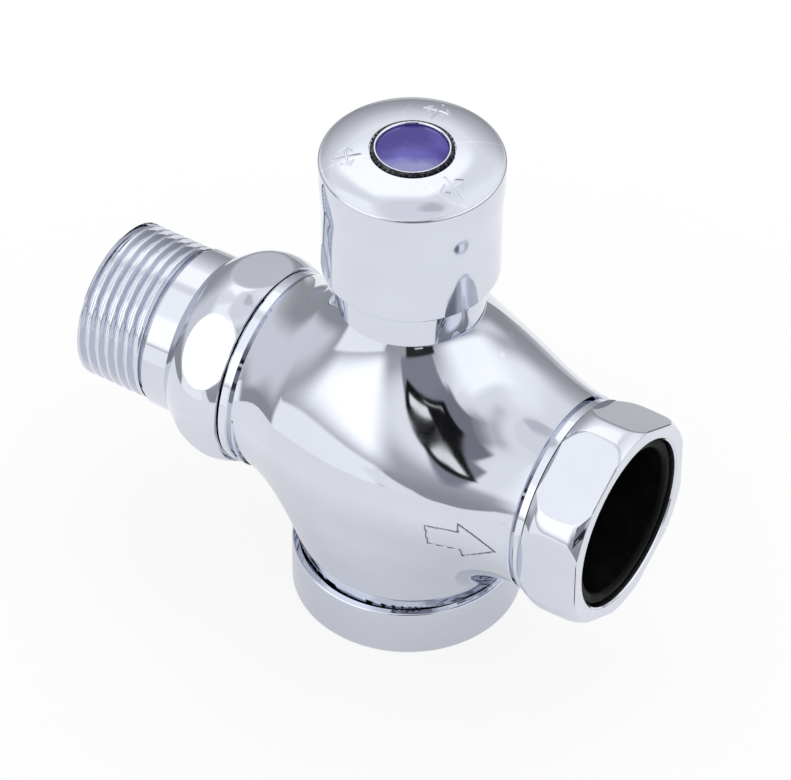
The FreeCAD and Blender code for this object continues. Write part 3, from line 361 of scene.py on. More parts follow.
def cad_faces(node, keep, inner=None):
    """Faces of a frame node that the finer surfaces leave as they are, with their own directions."""
    mesh = NODES[node].data
    place = np.zeros(len(mesh.vertices) * 3, np.float32)
    mesh.vertices.foreach_get("co", place)
    place = place.reshape(-1, 3).astype(float) / MM
    corners = np.zeros(len(mesh.loops), np.int32)
    mesh.loops.foreach_get("vertex_index", corners)
    away = np.zeros(len(mesh.loops) * 3, np.float32)
    mesh.corner_normals.foreach_get("vector", away)
    corners = corners.reshape(-1, 3)
    away = away.reshape(-1, 3, 3).astype(float)
    centre = place[corners].mean(1)
    kept = keep(centre, away.mean(1), place[corners])
    tri = corners[kept]
    slots = inner(centre[kept]).astype(int) if inner else np.zeros(len(tri), int)
    return place[tri].reshape(-1, 3), away[kept].reshape(-1, 3), np.arange(tri.size).reshape(-1, 3), slots


def build(name, patches, finishes, body, nodes):
    """Joins surfaces into one piece that stands for its frame nodes."""
    places, aways, faces, slots = [], [], [], []
    start = 0
    for place, away, corner, look in patches:
        places.append(place)
        aways.append(away)
        faces += (corner + start).tolist() if isinstance(corner, np.ndarray) else \
            [[v + start for v in face] for face in corner]
        slots += list(look) if np.ndim(look) else [look] * len(corner)
        start += len(place)
    place = np.concatenate(places)
    away = unit(np.concatenate(aways))
    mesh = bpy.data.meshes.new(name)
    mesh.from_pydata((place * MM).tolist(), [], faces)
    mesh.polygons.foreach_set("material_index", np.array(slots, np.int32))
    mesh.polygons.foreach_set("use_smooth", np.ones(len(faces), bool))
    for look in finishes:
        mesh.materials.append(finish(look))
    mesh.update()
    mesh.normals_split_custom_set_from_vertices(away.tolist())
    piece = bpy.data.objects.new(name, mesh)
    bpy.context.scene.collection.objects.link(piece)
    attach(piece, body)
    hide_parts(*nodes)
    return piece


# Finishes

class Nodes:
    """A node tree, with short ways to add the usual nodes."""

    def __init__(self, tree):
        self.tree = tree

    def add(self, kind, **settings):
        node = self.tree.nodes.new(kind)
        for key, value in settings.items():
            setattr(node, key, value)
        return node

    def feed(self, socket, value):
        """Links an output to the socket, or sets the socket's value."""
        if hasattr(value, "is_output"):
            self.tree.links.new(value, socket)
        elif socket.type == "RGBA":
            socket.default_value = (*value, 1.0)
        else:
            socket.default_value = value

    def made(self, kind, values, output=0, **settings):
        """Adds a node, feeds its sockets by name or number and gives one output."""
        node = self.add(kind, **settings)
        for key, value in values.items():
            self.feed(node.inputs[key], value)
        return node.outputs[output]

    def mix(self, operation, *values):
        return self.made("ShaderNodeMath", dict(enumerate(values)), operation=operation)

    def spread(self, value, low, high, start=0.35, end=0.65):
        """The value between start and end spread over low to high."""
        return self.made("ShaderNodeMapRange", {"Value": value, "From Min": start, "From Max": end,
                                                "To Min": low, "To Max": high})

    def blend(self, factor, a, b):
        """Colour from a to b by the factor."""
        return self.made("ShaderNodeMix", {0: factor, 6: a, 7: b}, 2, data_type="RGBA")


class Finish(Nodes):
    """Node tree of one material."""

    def __init__(self, name):
        self.material = bpy.data.materials.new(name)
        self.material.use_nodes = True
        super().__init__(self.material.node_tree)
        self.shader = self.tree.nodes["Principled BSDF"]
        self.place = self.add("ShaderNodeTexCoord").outputs["Object"]

    def noise(self, scale, detail=3.0, rough=0.5, stretch=None):
        """Cloudy value from 0 to 1; scale is the number of clouds in a metre."""
        source = self.place
        if stretch:
            source = self.made("ShaderNodeMapping", {"Vector": source, "Scale": stretch})
        return self.made("ShaderNodeTexNoise", {"Vector": source, "Scale": scale, "Detail": detail,
                                                "Roughness": rough})

    def bump(self, height, distance, strength=1.0, under=None):
        """Fine relief, on top of another if given."""
        values = {"Height": height, "Distance": distance, "Strength": strength}
        if under:
            values["Normal"] = under
        return self.made("ShaderNodeBump", values)

    def set(self, **values):
        """Sets or links sockets of the shader; names use _ for a space."""
        for key, value in values.items():
            self.feed(self.shader.inputs[key.replace("_", " ")], value)

    def show(self, shader):
        """Puts another shader in the place of the usual one."""
        self.tree.nodes.remove(self.shader)
        self.feed(self.tree.nodes["Material Output"].inputs["Surface"], shader)


def tone(rgb, factor):
    return tuple(min(1.0, c * factor) for c in rgb)


def plated_finish(name, rgb, shine):
    """Mirror plating: faint film, fingerprints' haze, hairline polishing marks and softly waving metal."""
    f = Finish(name)
    film = f.noise(55.0, 4.0, 0.55)
    haze = f.noise(260.0, 5.0, 0.6)
    hair = f.noise(900.0, 2.0, 0.5, stretch=(1.0, 0.06, 1.0))
    hair_across = f.noise(900.0, 2.0, 0.5, stretch=(0.06, 1.0, 0.5))
    worn = f.spread(f.add("ShaderNodeNewGeometry").outputs["Pointiness"], 0.0, 1.0, 0.52, 0.62)
    base = f.blend(f.spread(film, 0.0, 1.0), tone(rgb, 0.975), tone(rgb, 1.02))
    base = f.blend(f.mix("MULTIPLY", worn, 0.35), base, (0.93, 0.93, 0.94))
    rough = f.mix("ADD", f.spread(film, 0.75 * shine, 1.25 * shine),
                  f.spread(haze, -0.25 * shine, 0.45 * shine))
    scratches = f.mix("MAXIMUM", f.spread(hair, 0.0, 1.0, 0.66, 0.78),
                      f.spread(hair_across, 0.0, 1.0, 0.68, 0.8))
    rough = f.mix("ADD", rough, f.mix("MULTIPLY", scratches, 0.02))
    wave = f.bump(f.noise(34.0, 1.5, 0.4), 0.00002, 0.6)
    relief = f.bump(scratches, 0.000002, 0.25, wave)
    f.set(Base_Color=base, Metallic=1.0, Roughness=rough, Normal=relief)
    return f.material


def brass_finish(name, rgb):
    """Turned brass with tool rings, a warm film and darker spots."""
    f = Finish(name)
    rings = f.made("ShaderNodeTexWave", {"Vector": f.place, "Scale": 900.0, "Distortion": 1.5}, "Fac",
                   wave_type="BANDS", bands_direction="Z")
    film = f.noise(140.0, 5.0, 0.6)
    base = f.blend(f.spread(film, 0.0, 1.0), tone(rgb, 0.78), tone(rgb, 1.12))
    rough = f.mix("ADD", f.spread(film, 0.2, 0.34), f.mix("MULTIPLY", rings, 0.06))
    f.set(Base_Color=base, Metallic=1.0, Roughness=rough, Normal=f.bump(rings, 0.00001, 0.5))
    return f.material


def grained_finish(name, colours, cloud, grain, rough, relief, span=(0.35, 0.65), **rest):
    """Surface whose colour wanders with a cloudy film, and whose grain sets its shine and relief; on the dark
    ring the brighter clouds are painted small highlights.
    """
    f = Finish(name)
    film = f.noise(*cloud)
    fine = f.noise(*grain) if grain else film
    f.set(Base_Color=f.blend(f.spread(film, 0.0, 1.0, *span), *colours), Roughness=f.spread(fine, *rough),
          Normal=f.bump(fine, *relief), **rest)
    return f.material


def rubber_finish(name, rgb):
    """Moulded black rubber: matt, with a fine moulded grain and a few specks of dust."""
    f = Finish(name)
    grain = f.noise(2600.0, 4.0, 0.6)
    bloom = f.noise(210.0, 5.0, 0.62)
    specks = f.spread(f.noise(3600.0, 2.0, 0.4), 0.0, 1.0, 0.70, 0.76)
    dusty = f.mix("MULTIPLY", specks, f.spread(f.noise(60.0, 2.0, 0.5), 0.0, 1.0, 0.5, 0.62))
    base = f.blend(f.spread(bloom, 0.0, 1.0, 0.5, 0.75), tone(rgb, 0.9), tone(rgb, 2.0))
    f.set(Base_Color=f.blend(dusty, base, (0.16, 0.16, 0.15)), Roughness=f.spread(bloom, 0.42, 0.6),
          Specular_IOR_Level=0.06, Normal=f.bump(grain, 0.00003, 0.35))
    return f.material


def lens_finish(name, deep, light):
    """Violet resin dome: deep clouds, a paler band painted as light along the edge that faces the camera, and
    a hard glossy face.
    """
    f = Finish(name)
    streak = f.noise(105.0, 3.0, 0.5)
    fine = f.noise(420.0, 4.0, 0.6)
    base = f.blend(f.spread(streak, 0.0, 1.0, 0.40, 0.66), deep, light)
    # Painted light: the lens turns pale violet along its edge that faces the camera.
    side = f.made("ShaderNodeVectorMath", {0: f.place, 1: (0.53, -0.85, 0.0)}, "Value",
                  operation="DOT_PRODUCT")
    rim = f.mix("ADD", side, f.mix("MULTIPLY", f.mix("SUBTRACT", fine, 0.5), 0.002))
    base = f.blend(f.spread(rim, 0.0, 0.8, 0.0028, 0.0052), base, (0.36, 0.36, 0.62))
    f.set(Base_Color=base, Roughness=f.spread(fine, 0.05, 0.12), Coat_Weight=0.4, Coat_Roughness=0.03,
          Specular_IOR_Level=0.25, Normal=f.bump(fine, 0.00002, 0.1))
    return f.material


def finish(name):
    """Makes a finish once and hands it out again."""
    kept = bpy.data.materials.get(name)
    if kept:
        return kept
    c = bpy.context.scene.valve_finishes
    if name == "plated metal":
        return plated_finish(name, c.plating, c.shine)
    if name == "turned brass":
        return brass_finish(name, c.brass)
    if name == "black rubber":
        return rubber_finish(name, c.rubber)
    if name == "violet lens":
        return lens_finish(name, c.index, c.lens)
    grained = {
        "spring steel": dict(colours=(tone(c.steel, 0.85), tone(c.steel, 1.12)), cloud=(180.0, 4.0, 0.55),
                             grain=(1500.0, 3.0, 0.6, (1.0, 1.0, 0.2)), rough=(0.22, 0.38),
                             relief=(0.00001, 0.4), Metallic=1.0),
        # Dark ring: the brighter cloudy spots on its near-black metal are painted small highlights.
        "dark ring": dict(colours=((0.02, 0.02, 0.025), (0.16, 0.16, 0.18)), cloud=(500.0, 4.0, 0.6),
                          grain=None, rough=(0.2, 0.32), relief=(0.00001, 0.2), span=(0.45, 0.75),
                          Metallic=1.0),
        # The engraved line's darker colour is painted shade in the grooves; its higher roughness is the cut's
        # own.
        "engraved line": dict(colours=((0.20, 0.21, 0.26), (0.36, 0.37, 0.44)), cloud=(2400.0, 3.0, 0.6),
                              grain=None, rough=(0.3, 0.42), relief=(0.00001, 0.3), Metallic=1.0),
        "white nylon": dict(colours=(tone(c.nylon, 0.93), tone(c.nylon, 1.03)),
                            cloud=(120.0, 4.0, 0.5, (1.0, 1.0, 0.4)), grain=(1800.0, 3.0, 0.5),
                            rough=(0.38, 0.5), relief=(0.00002, 0.3), Subsurface_Weight=0.1,
                            Subsurface_Scale=0.002),
        "violet disc": dict(colours=(tone(c.index, 0.8), tone(c.index, 1.3)), cloud=(700.0, 4.0, 0.6),
                            grain=None, rough=(0.25, 0.4), relief=(0.00002, 0.2)),
    }
    return grained_finish(name, **grained[name])


class Builder:
    """What the operators share: each makes its pieces from the plan."""

    def execute(self, context):
        self.make(plan())
        return {"FINISHED"}


# Body

def smooth_step(t):
    t = np.clip(t, 0.0, 1.0)
    return t * t * (3 - 2 * t)


def bowl_radius(z, d):
    """Radius of the upright part at each height."""
    up = np.clip((z - d.belly) / (d.neck_end - d.belly), 0.0, 1.0)
    down = np.clip((d.belly - z) / (d.belly - d.bowl_low), 0.0, 1.0)
    above = d.bowl_r + (d.neck_r - d.bowl_r) * (0.5 - 0.5 * np.cos(math.pi * up))
    below = d.bowl_r + (d.bowl_low_r - d.bowl_r) * down * down
    return np.where(z > d.belly, above, below)


def body_form(p, d):
    """Distance-like value of the smooth union of the upright bowl and the pipe; negative inside."""
    x, y, z = p[..., 0], p[..., 1], p[..., 2]
    beyond = np.maximum(np.maximum(z - d.neck_end, d.bowl_low - z), 0.0)
    upright = np.hypot(np.hypot(x, y), beyond) - bowl_radius(z, d)
    pipe = np.hypot(y, z - d.axis) - d.pipe_r
    low_blend, high_blend, inlet_loss, outlet_loss = 24.4, 46.2, 0.33, 0.07
    blend = low_blend + (high_blend - low_blend) * smooth_step((z - d.axis + 10.5) / 24)
    loss = np.where(x < 0, inlet_loss, outlet_loss)
    blend = blend * (1 - loss * smooth_step((np.abs(x) - 16) / 16))
    overlap = np.maximum(blend - np.abs(upright - pipe), 0.0) / blend
    return np.minimum(upright, pipe) - overlap ** 3 * blend / 6


def line_depth(u, v, lines, width):
    """How deep an engraved line is at (u, v), from 0 to 1, with soft edges."""
    far = np.full(u.shape, 1e9)
    for (ax, ay), (bx, by) in lines:
        length = math.hypot(bx - ax, by - ay)
        dx, dy = (bx - ax) / length, (by - ay) / length
        t = np.clip((u - ax) * dx + (v - ay) * dy, 0, length)
        far = np.minimum(far, np.hypot(u - ax - t * dx, v - ay - t * dy))
    return 1 - smooth_step((far - width / 2 + 0.06) / 0.13)


def arrow_lines(d):
    """Outline of the flow arrow on the outlet branch."""
    x0, z = d.arrow_start, d.arrow_axis
    neck, tip = x0 + 6.4, x0 + 13.8
    corners = [(x0, z - 2.9), (neck, z - 2.9), (neck, z - 5.2), (tip, z), (neck, z + 5.2), (neck, z + 2.9),
               (x0, z + 2.9)]
    return list(zip(corners, corners[1:] + corners[:1]))


def engraved_form(p, d, lines):
    """Body form with the flow arrow sunk into its front."""
    value = body_form(p, d)
    near = (p[..., 1] < 0) & (p[..., 0] > d.arrow_start - 0.8) & (np.abs(p[..., 2] - d.arrow_axis) < 6.2)
    if near.any():
        q = p[near]
        value[near] += d.mark_depth * line_depth(q[:, 0], q[:, 2], lines, d.mark_width)
    return value


def steepest(form, p, step=0.01):
    """Outward directions of a form at points on it."""
    parts = []
    for axis in range(3):
        shift = np.zeros(3)
        shift[axis] = step
        parts.append(form(p + shift) - form(p - shift))
    return unit(np.stack(parts, -1))


def spaced(parts):
    """Angles in degrees from stretches of (start, end, step)."""
    values = [np.arange(a, b - 1e-9, step) for a, b, step in parts]
    return np.radians(np.concatenate(values + [[parts[-1][1]]]))


def body_skin(d):
    """The blended outside of the body as fine faces, trimmed at the collars, neck and skirt."""
    lines = arrow_lines(d)
    theta = spaced([(22, 30.5, 0.55), (30.5, 49.5, 0.14), (49.5, 156, 0.55)])
    phi = spaced([(-180, -19, 1.0), (-19, 15.5, 0.28), (15.5, 180, 1.0)])[:-1]
    t, f = np.meshgrid(theta, phi, indexing="ij")
    ray = np.stack([np.cos(t), -np.sin(t) * np.cos(f), np.sin(t) * np.sin(f)], -1)
    centre = np.array((0.0, 0.0, d.axis))
    near = np.full(t.shape, 2.0)
    far = np.full(t.shape, 120.0)
    for _ in range(30):
        mid = (near + far) / 2
        inside = engraved_form(centre + ray * mid[..., None], d, lines) < 0
        near = np.where(inside, mid, near)
        far = np.where(inside, far, mid)
    points = centre + ray * near[..., None]
    mesh = bmesh.new()
    verts = [mesh.verts.new(p) for p in points.reshape(-1, 3).tolist()]
    for face in grid_faces(*t.shape).tolist():
        mesh.faces.new([verts[i] for i in face])
    for place, way in (((0, 0, d.neck_top), (0, 0, 1)), ((0, 0, d.shoulder), (0, 0, -1)),
                       ((d.trim_inlet, 0, 0), (-1, 0, 0)), ((d.trim_outlet, 0, 0), (1, 0, 0))):
        geometry = mesh.verts[:] + mesh.edges[:] + mesh.faces[:]
        bmesh.ops.bisect_plane(mesh, geom=geometry, plane_co=place, plane_no=way, clear_outer=True)
    mesh.verts.index_update()
    place = np.array([v.co for v in mesh.verts])
    faces = [[v.index for v in face.verts] for face in mesh.faces]
    mesh.free()
    middles = np.array([place[face].mean(0) for face in faces])
    # Faces in the arrow's lines take the darker engraved-line finish, which is painted shade in the grooves.
    sunk = (middles[:, 1] < 0) & (line_depth(middles[:, 0], middles[:, 2], lines, d.mark_width) > 0.4)
    away = steepest(lambda p: engraved_form(p, d, lines), place)
    first = np.array([face[:3] for face in faces[:2000]])
    a, b, c = (place[first[:, k]] for k in range(3))
    if np.einsum("ij,ij->i", np.cross(b - a, c - a), away[first[:, 0]]).sum() < 0:
        faces = [face[::-1] for face in faces]
    return place, away, faces, 2 * sunk.astype(int)


def body_rest(d):
    """Collars, spigot, skirt and bores of the body, from its frame node."""
    def keep(centre, away, corners):
        off = np.abs(body_form(corners, d)).max(1)
        out = steepest(lambda p: body_form(p, d), centre)
        on_form = (off < 0.12) & (np.einsum("ij,ij->i", out, unit(away)) > 0.6)
        arrow = (centre[:, 1] < -12) & (centre[:, 0] > d.arrow_start - 0.8)
        arrow &= centre[:, 0] < d.outlet_x - 4.5
        arrow &= (np.abs(centre[:, 2] - d.arrow_axis) < 6.0) & (body_form(centre, d) > -0.5)
        within = (centre[:, 0] > d.trim_inlet) & (centre[:, 0] < d.trim_outlet)
        within &= (centre[:, 2] > d.shoulder - 0.005) & (centre[:, 2] < d.neck_top + 0.005)
        return ~(within & (on_form | arrow))

    def inner(centre):
        pipe_r = np.hypot(centre[:, 1], centre[:, 2] - d.axis)
        upright_r = np.hypot(centre[:, 0], centre[:, 1])
        return (pipe_r < d.spigot_r - 0.3) & (upright_r < d.bowl_r - 3.2)

    return cad_faces("valve_body", keep, inner)


class VALVE_OT_body(Builder, bpy.types.Operator):
    """Build the cast body with its collars and flow arrow"""
    bl_idname = "valve.body"
    bl_label = "Body"

    def make(self, d):
        build("body_shell", [body_skin(d), body_rest(d)], ["plated metal", "turned brass", "engraved line"],
              "valve", ["valve_body"])


# Hexagon collars

def hexed_rows(rows, d, flat_r, turn, columns, soften=0.35):
    """Barrel rows of (distance, radius) cut by six flats; gives points and directions."""
    points, out = rows
    phi = around(columns)
    flat = (phi - math.radians(turn) + math.pi / 6) % (math.pi / 3) - math.pi / 6
    edge = flat_r / np.cos(flat)
    edge_slope = flat_r * np.sin(flat) / np.cos(flat) ** 2
    x, r = points[:, 0][:, None], points[:, 1][:, None]
    overlap = np.maximum(soften - np.abs(r - edge), 0) / soften
    radius = np.minimum(r, edge) - overlap ** 3 * soften / 6
    share_round = np.where(r < edge, 1 - overlap ** 2 / 2, overlap ** 2 / 2)
    run, rise = out[:, 1][:, None], -out[:, 0][:, None]
    side = np.where(run < 0, -1.0, 1.0)
    b = share_round * rise * side
    c = (1 - share_round) * edge_slope
    a = np.abs(run) + 0 * radius
    n = unit(np.stack([-b * radius, a * radius, -a * c], -1))
    place = np.stack([x + 0 * radius, radius * np.cos(phi), d.axis + radius * np.sin(phi)], -1)
    away = np.stack([n[..., 0], n[..., 1] * np.cos(phi) - n[..., 2] * np.sin(phi),
                     n[..., 1] * np.sin(phi) + n[..., 2] * np.cos(phi)], -1)
    return place, away


def eased_edge(place, away, d, soft, hole):
    """Rows that carry a hexed side round onto its front face and in to the hole."""
    corner, n1 = place[-1], away[-1]
    n2 = np.array((1.0, 0.0, 0.0))
    inward = np.zeros_like(corner)
    inward[:, 1:] = -unit(corner[:, 1:] - np.array((0, d.axis)))
    turn = np.arccos(np.clip(n1 @ n2, -1, 1))
    reach = (soft * np.tan(turn / 2))[:, None]
    back = unit(place[-2] - corner)
    start, stop = corner + back * reach, corner + inward * reach
    rows, ways = [place[:-1], start[None]], [away[:-1], n1[None]]
    for f in np.arange(1, 7) / 6:
        rows.append(((1 - f) ** 2 * start + 2 * f * (1 - f) * corner + f * f * stop)[None])
        ways.append(unit((1 - f) * n1 + f * n2)[None])
    phi = around(len(corner))
    rim = np.stack([corner[:, 0], hole * np.cos(phi), d.axis + hole * np.sin(phi)], -1)
    for f in (0.5, 1.0):
        rows.append((stop + (rim - stop) * f)[None])
        ways.append(np.broadcast_to(n2, corner.shape)[None])
    return np.concatenate(rows), np.concatenate(ways)


def hexed_barrel(points, d, flat_r, turn, columns, soft, hole):
    """Rounded hexagon over the (distance, radius) points, eased onto its front face."""
    place, along = smooth_curve(points, 0.16)
    rows = place, np.stack([-along[:, 1], along[:, 0]], 1)
    return patch(*eased_edge(*hexed_rows(rows, d, flat_r, turn, columns), d, soft, hole))


def back_face(x, inner, outer, d):
    """Flat ring that looks towards the inlet."""
    return turned_x((np.array([(x, inner), (x, outer)]), np.tile((-1.0, 0.0), (2, 1))), 360, d.axis)


def pipe_reach(centre, d):
    """Distance of points from the pipe axis."""
    return np.hypot(centre[:, 1], centre[:, 2] - d.axis)


def pipe_thread(d, start, length, columns=360):
    """Wound pipe thread with eased crests and roots, running out at both ends."""
    x = np.arange(start + 0.42, start + length - 0.02, 0.11)
    phi = around(columns)
    depth = 0.606 * d.pitch

    def radius(at, angle):
        turn = (at - start) / d.pitch - angle / (2 * math.pi)
        off = np.abs((turn + 0.25) % 1 - 0.5)
        value = np.clip((0.39 - off) / (0.39 - 0.108), 0, 1)
        value = value + 0.07 * (smooth_step(value) - value)
        fade = smooth_step((at - start + 0.9) / 1.3) * smooth_step((start + length - at) / 0.8)
        return d.thread_r - depth * value * fade

    xx, pp = np.meshgrid(x, phi, indexing="ij")
    r = radius(xx, pp)
    dx = (radius(xx + 0.06, pp) - radius(xx - 0.06, pp)) / 0.12
    dp = (radius(xx, pp + 0.004) - radius(xx, pp - 0.004)) / 0.008
    c, s = np.cos(pp), np.sin(pp)
    place = np.stack([xx, r * c, d.axis + r * s], -1)
    away = unit(np.stack([-dx, c + dp / r * s, s - dp / r * c], -1))
    return patch(place, away)


class VALVE_OT_inlet_connector(Builder, bpy.types.Operator):
    """Build the threaded inlet connector with its hexagon"""
    bl_idname = "valve.inlet_connector"
    bl_label = "Inlet connector"

    def make(self, d):
        mouth = d.inlet_x - d.connector_reach
        end = mouth + d.thread_length
        land_r, bore, hex_r = d.thread_r + 0.55, d.thread_r - 4.625, d.pipe_r + 2.5
        back, front = d.inlet_x - d.hexagon_length, d.hex_front + 0.3
        nose = outline([[(mouth + 1.4, bore)], [(mouth, bore + 1.4)], [(mouth, d.thread_r - 0.4)],
                        [(mouth + 0.4, d.thread_r)], [(mouth + 0.5, d.thread_r)]], 0.1, closed=False)
        land = outline([[(end - 0.1, d.thread_r - 0.3)], [(end + 0.12, d.thread_r - 1.2)],
                        [(end + 0.6, d.thread_r - 1.25)], [(end + 1.05, land_r - 0.15)],
                        [(end + 1.3, land_r)], [(back + 0.05, land_r)]], 0.2, closed=False)
        barrel = [(back, land_r + 0.1), (back + 2.5, hex_r - 2.8), (back + 4.7, hex_r - 1.35),
                  (back + 9.4, hex_r), (back + 12.6, hex_r - 0.35), (front, hex_r - 1.1)]
        patches = [
            turned_x(facing(nose, (-1.0, 0.2)), 360, d.axis), pipe_thread(d, mouth, d.thread_length),
            turned_x(facing(land, (0.0, 1.0)), 360, d.axis), back_face(back, land_r - 0.1, land_r + 0.1, d),
            hexed_barrel(barrel, d, d.pipe_r + 1.05, -41.0, 720, 0.2, d.pipe_r + 0.05),
            cad_faces("inlet_nipple", lambda c, a, p: (pipe_reach(c, d) < bore + 0.15)
                      | (c[:, 0] > front + 0.02), lambda c: c[:, 0] > front),
        ]
        build("inlet_connector", patches, PLATED_OVER_BRASS, "valve", ["inlet_nipple"])


class VALVE_OT_coupling_nut(Builder, bpy.types.Operator):
    """Build the rounded hexagon nut on the outlet"""
    bl_idname = "valve.coupling_nut"
    bl_label = "Coupling nut"

    def make(self, d):
        back, front = d.nut_back, d.nut_front
        nut_r, hole, lip = d.pipe_r + 2.8, d.nut_hole_r, front - d.nut_lip
        barrel = [(back, nut_r - 1.3), (back + 2.2, nut_r - 0.35), (back + 5.2, nut_r),
                  (back + 9.0, nut_r - 0.08), (front - 1.3, nut_r - 0.48), (front, nut_r - 1.35)]
        inside = outline([[(front, hole + 0.35)], [(front, hole + 0.3)], [(front - 0.3, hole)],
                          [(lip, hole)], [(lip, hole + 1.1)]], 0.08, closed=False)
        patches = [
            hexed_barrel(barrel, d, d.pipe_r + 0.75, 0.0, 780, 0.3, hole + 0.3),
            turned_x(facing(inside, (0.2, -1.0)), 360, d.axis),
            back_face(back, d.spigot_r + 0.6, nut_r - 1.3, d),
            cad_faces("outlet_nut", lambda c, a, p: (pipe_reach(c, d) < d.spigot_r + 0.55)
                      & (c[:, 0] < lip - 0.02), lambda c: c[:, 0] < front - 3.5),
        ]
        build("coupling_nut", patches, PLATED_OVER_BRASS, "nut", ["outlet_nut"])


# Turned pieces

class VALVE_OT_bottom_cap(Builder, bpy.types.Operator):
    """Build the screwed cap under the body"""
    bl_idname = "valve.bottom_cap"
    bl_label = "Bottom cap"

    def make(self, d):
        r, h = d.bowl_r - 0.2, d.cap_height
        lip = d.bowl_r - 1.6
        rows = facing_out(outline([
            [(0, 0), (r - 3.2, 0)], [(r - 3.2, 0), (r - 0.35, 0)], [(r - 0.35, 0), (r - 0.1, 0.1), (r, 0.35)],
            [(r, 0.35), (r, h - 0.5)], [(r, h - 0.5), (r - 0.12, h - 0.12), (r - 0.4, h)],
            [(lip, h)], [(lip, d.shoulder - 0.4)]], d.soft, closed=False), (r - 1.2, h / 2))
        inner = (rows[0][:, 0] < lip + 0.02) & (rows[0][:, 1] > d.shoulder - 1)
        rows[1][inner & (np.abs(rows[1][:, 0]) > 0.9)] = (-1.0, 0.0)
        patches = [turned_z(rows, 360),
                   cad_faces("bottom_cap", lambda c, a, p: (np.hypot(c[:, 0], c[:, 1]) < lip + 0.55)
                             & (c[:, 2] > 1.0), lambda c: np.hypot(c[:, 0], c[:, 1]) < d.bowl_r - 3.0)]
        build("screwed_cap", patches, PLATED_OVER_BRASS, "valve", ["bottom_cap"])


class VALVE_OT_bonnet(Builder, bpy.types.Operator):
    """Build the stepped ring under the button"""
    bl_idname = "valve.bonnet"
    bl_label = "Bonnet"

    def make(self, d):
        r, low, top = d.bonnet_r, d.neck_top, d.button_low
        rows = outline([
            [(r - 2.7, low), (r - 0.4, low)], [(r, low + 0.4)], [(r, top - 0.6)], [(r - 0.6, top)],
            [(r - 7.1, top)]], 0.18, closed=False)
        patches = [turned_z(facing_out(rows, (r - 4, (low + top) / 2)), 360),
                   cad_faces("bonnet", lambda c, a, p: (np.hypot(c[:, 0], c[:, 1]) < r - 7.05)
                             | (c[:, 2] < low - 0.02), lambda c: c[:, 2] < low)]
        build("neck_ring", patches, PLATED_OVER_BRASS, "valve", ["bonnet"])


def turning_marks(first=-20.0, middle_r=12.8, half=11.0):
    """Lines of the three turning marks on the dome."""
    def at(r, angle):
        a = math.radians(angle)
        return r * math.cos(a), r * math.sin(a)

    lines = []
    for k in range(3):
        a = first + 120 * k
        lines.append((at(middle_r - 2.8, a), at(middle_r + 2.8, a)))
        steps = np.linspace(a - half, a + half, 9)
        lines += [(at(middle_r, u), at(middle_r, v)) for u, v in zip(steps, steps[1:])]
        for side in (-1, 1):
            for off in (-1.1, 1.1):
                lines.append((at(middle_r + off, a + side * (half - 4.5)),
                              at(middle_r, a + side * (half + 1))))
    return lines


class VALVE_OT_button(Builder, bpy.types.Operator):
    """Build the round push button with its lip, dome and turning marks"""
    bl_idname = "valve.button"
    bl_label = "Button"

    def make(self, d):
        r, low, crease = d.button_r, d.button_low, d.crease
        rim, dome = r + 0.55, crease + 2.75
        well_r, step_r, seat = d.ring_r + 0.2, d.ring_r - 0.55, d.index_seat
        wall = facing_out(outline([
            [(r - 1.8, low), (r - 0.5, low)], [(r - 0.5, low), (r - 0.15, low + 0.15), (r, low + 0.5)],
            [(r, low + 0.5), (r, crease - 15.0)],
            [(r, crease - 15.0), (r + 0.12, crease - 10.3), (r + 0.42, crease - 6.3), (rim, crease - 2.5),
             (rim, crease - 0.1)],
            [(rim, crease - 0.1), (rim - 0.1, crease + 0.2), (rim - 0.45, crease + 0.42)]],
            0.1, closed=False), (r - 3, (low + crease) / 2))
        curve, _ = smooth_curve([(rim - 0.45, crease + 0.42), (rim - 1.7, crease + 1.08),
                                 (rim - 3.0, crease + 1.6), (rim - 5.9, crease + 2.35), (8.86, crease + 2.66),
                                 (4.13, dome + 0.06), (0, dome + 0.1)], 0.05)
        order = np.argsort(curve[:, 0])
        marks = turning_marks()

        def height(x, y):
            level = np.interp(np.hypot(x, y), curve[order, 0], curve[order, 1])
            return level - d.mark_depth * line_depth(x, y, marks, d.mark_width)

        radii = np.concatenate([np.arange(rim - 0.45, 8.5, -0.1), [well_r]])
        phi = around(900)
        x, y = radii[:, None] * np.cos(phi), radii[:, None] * np.sin(phi)
        slopes = [(height(x + i, y + j) - height(x - i, y - j)) / 0.08 for i, j in ((0.04, 0), (0, 0.04))]
        top = patch(np.stack([x, y, height(x, y)], -1),
                    unit(np.stack([-slopes[0], -slopes[1], np.ones_like(x)], -1)))
        edge = float(height(np.array([well_r]), np.array([0.0]))[0])
        well = outline([[(well_r, edge), (well_r, seat)], [(step_r, seat)], [(step_r, seat - 0.5)]], 0.06,
                       closed=False)

        def kept(c, a, p):
            reach = np.hypot(c[:, 0], c[:, 1])
            skirt = (reach < r - 1.75) & (c[:, 2] < crease - 3.3)
            return skirt | ((reach < step_r + 0.04) & (c[:, 2] < seat - 0.45))

        patches = [turned_z(wall, 480), top, turned_z(facing(well, (-1.0, 1.0)), 240),
                   cad_faces("button_cap", kept, lambda c: c[:, 2] < low + 20)]
        build("push_button", patches, PLATED_OVER_BRASS, "button", ["button_cap"])


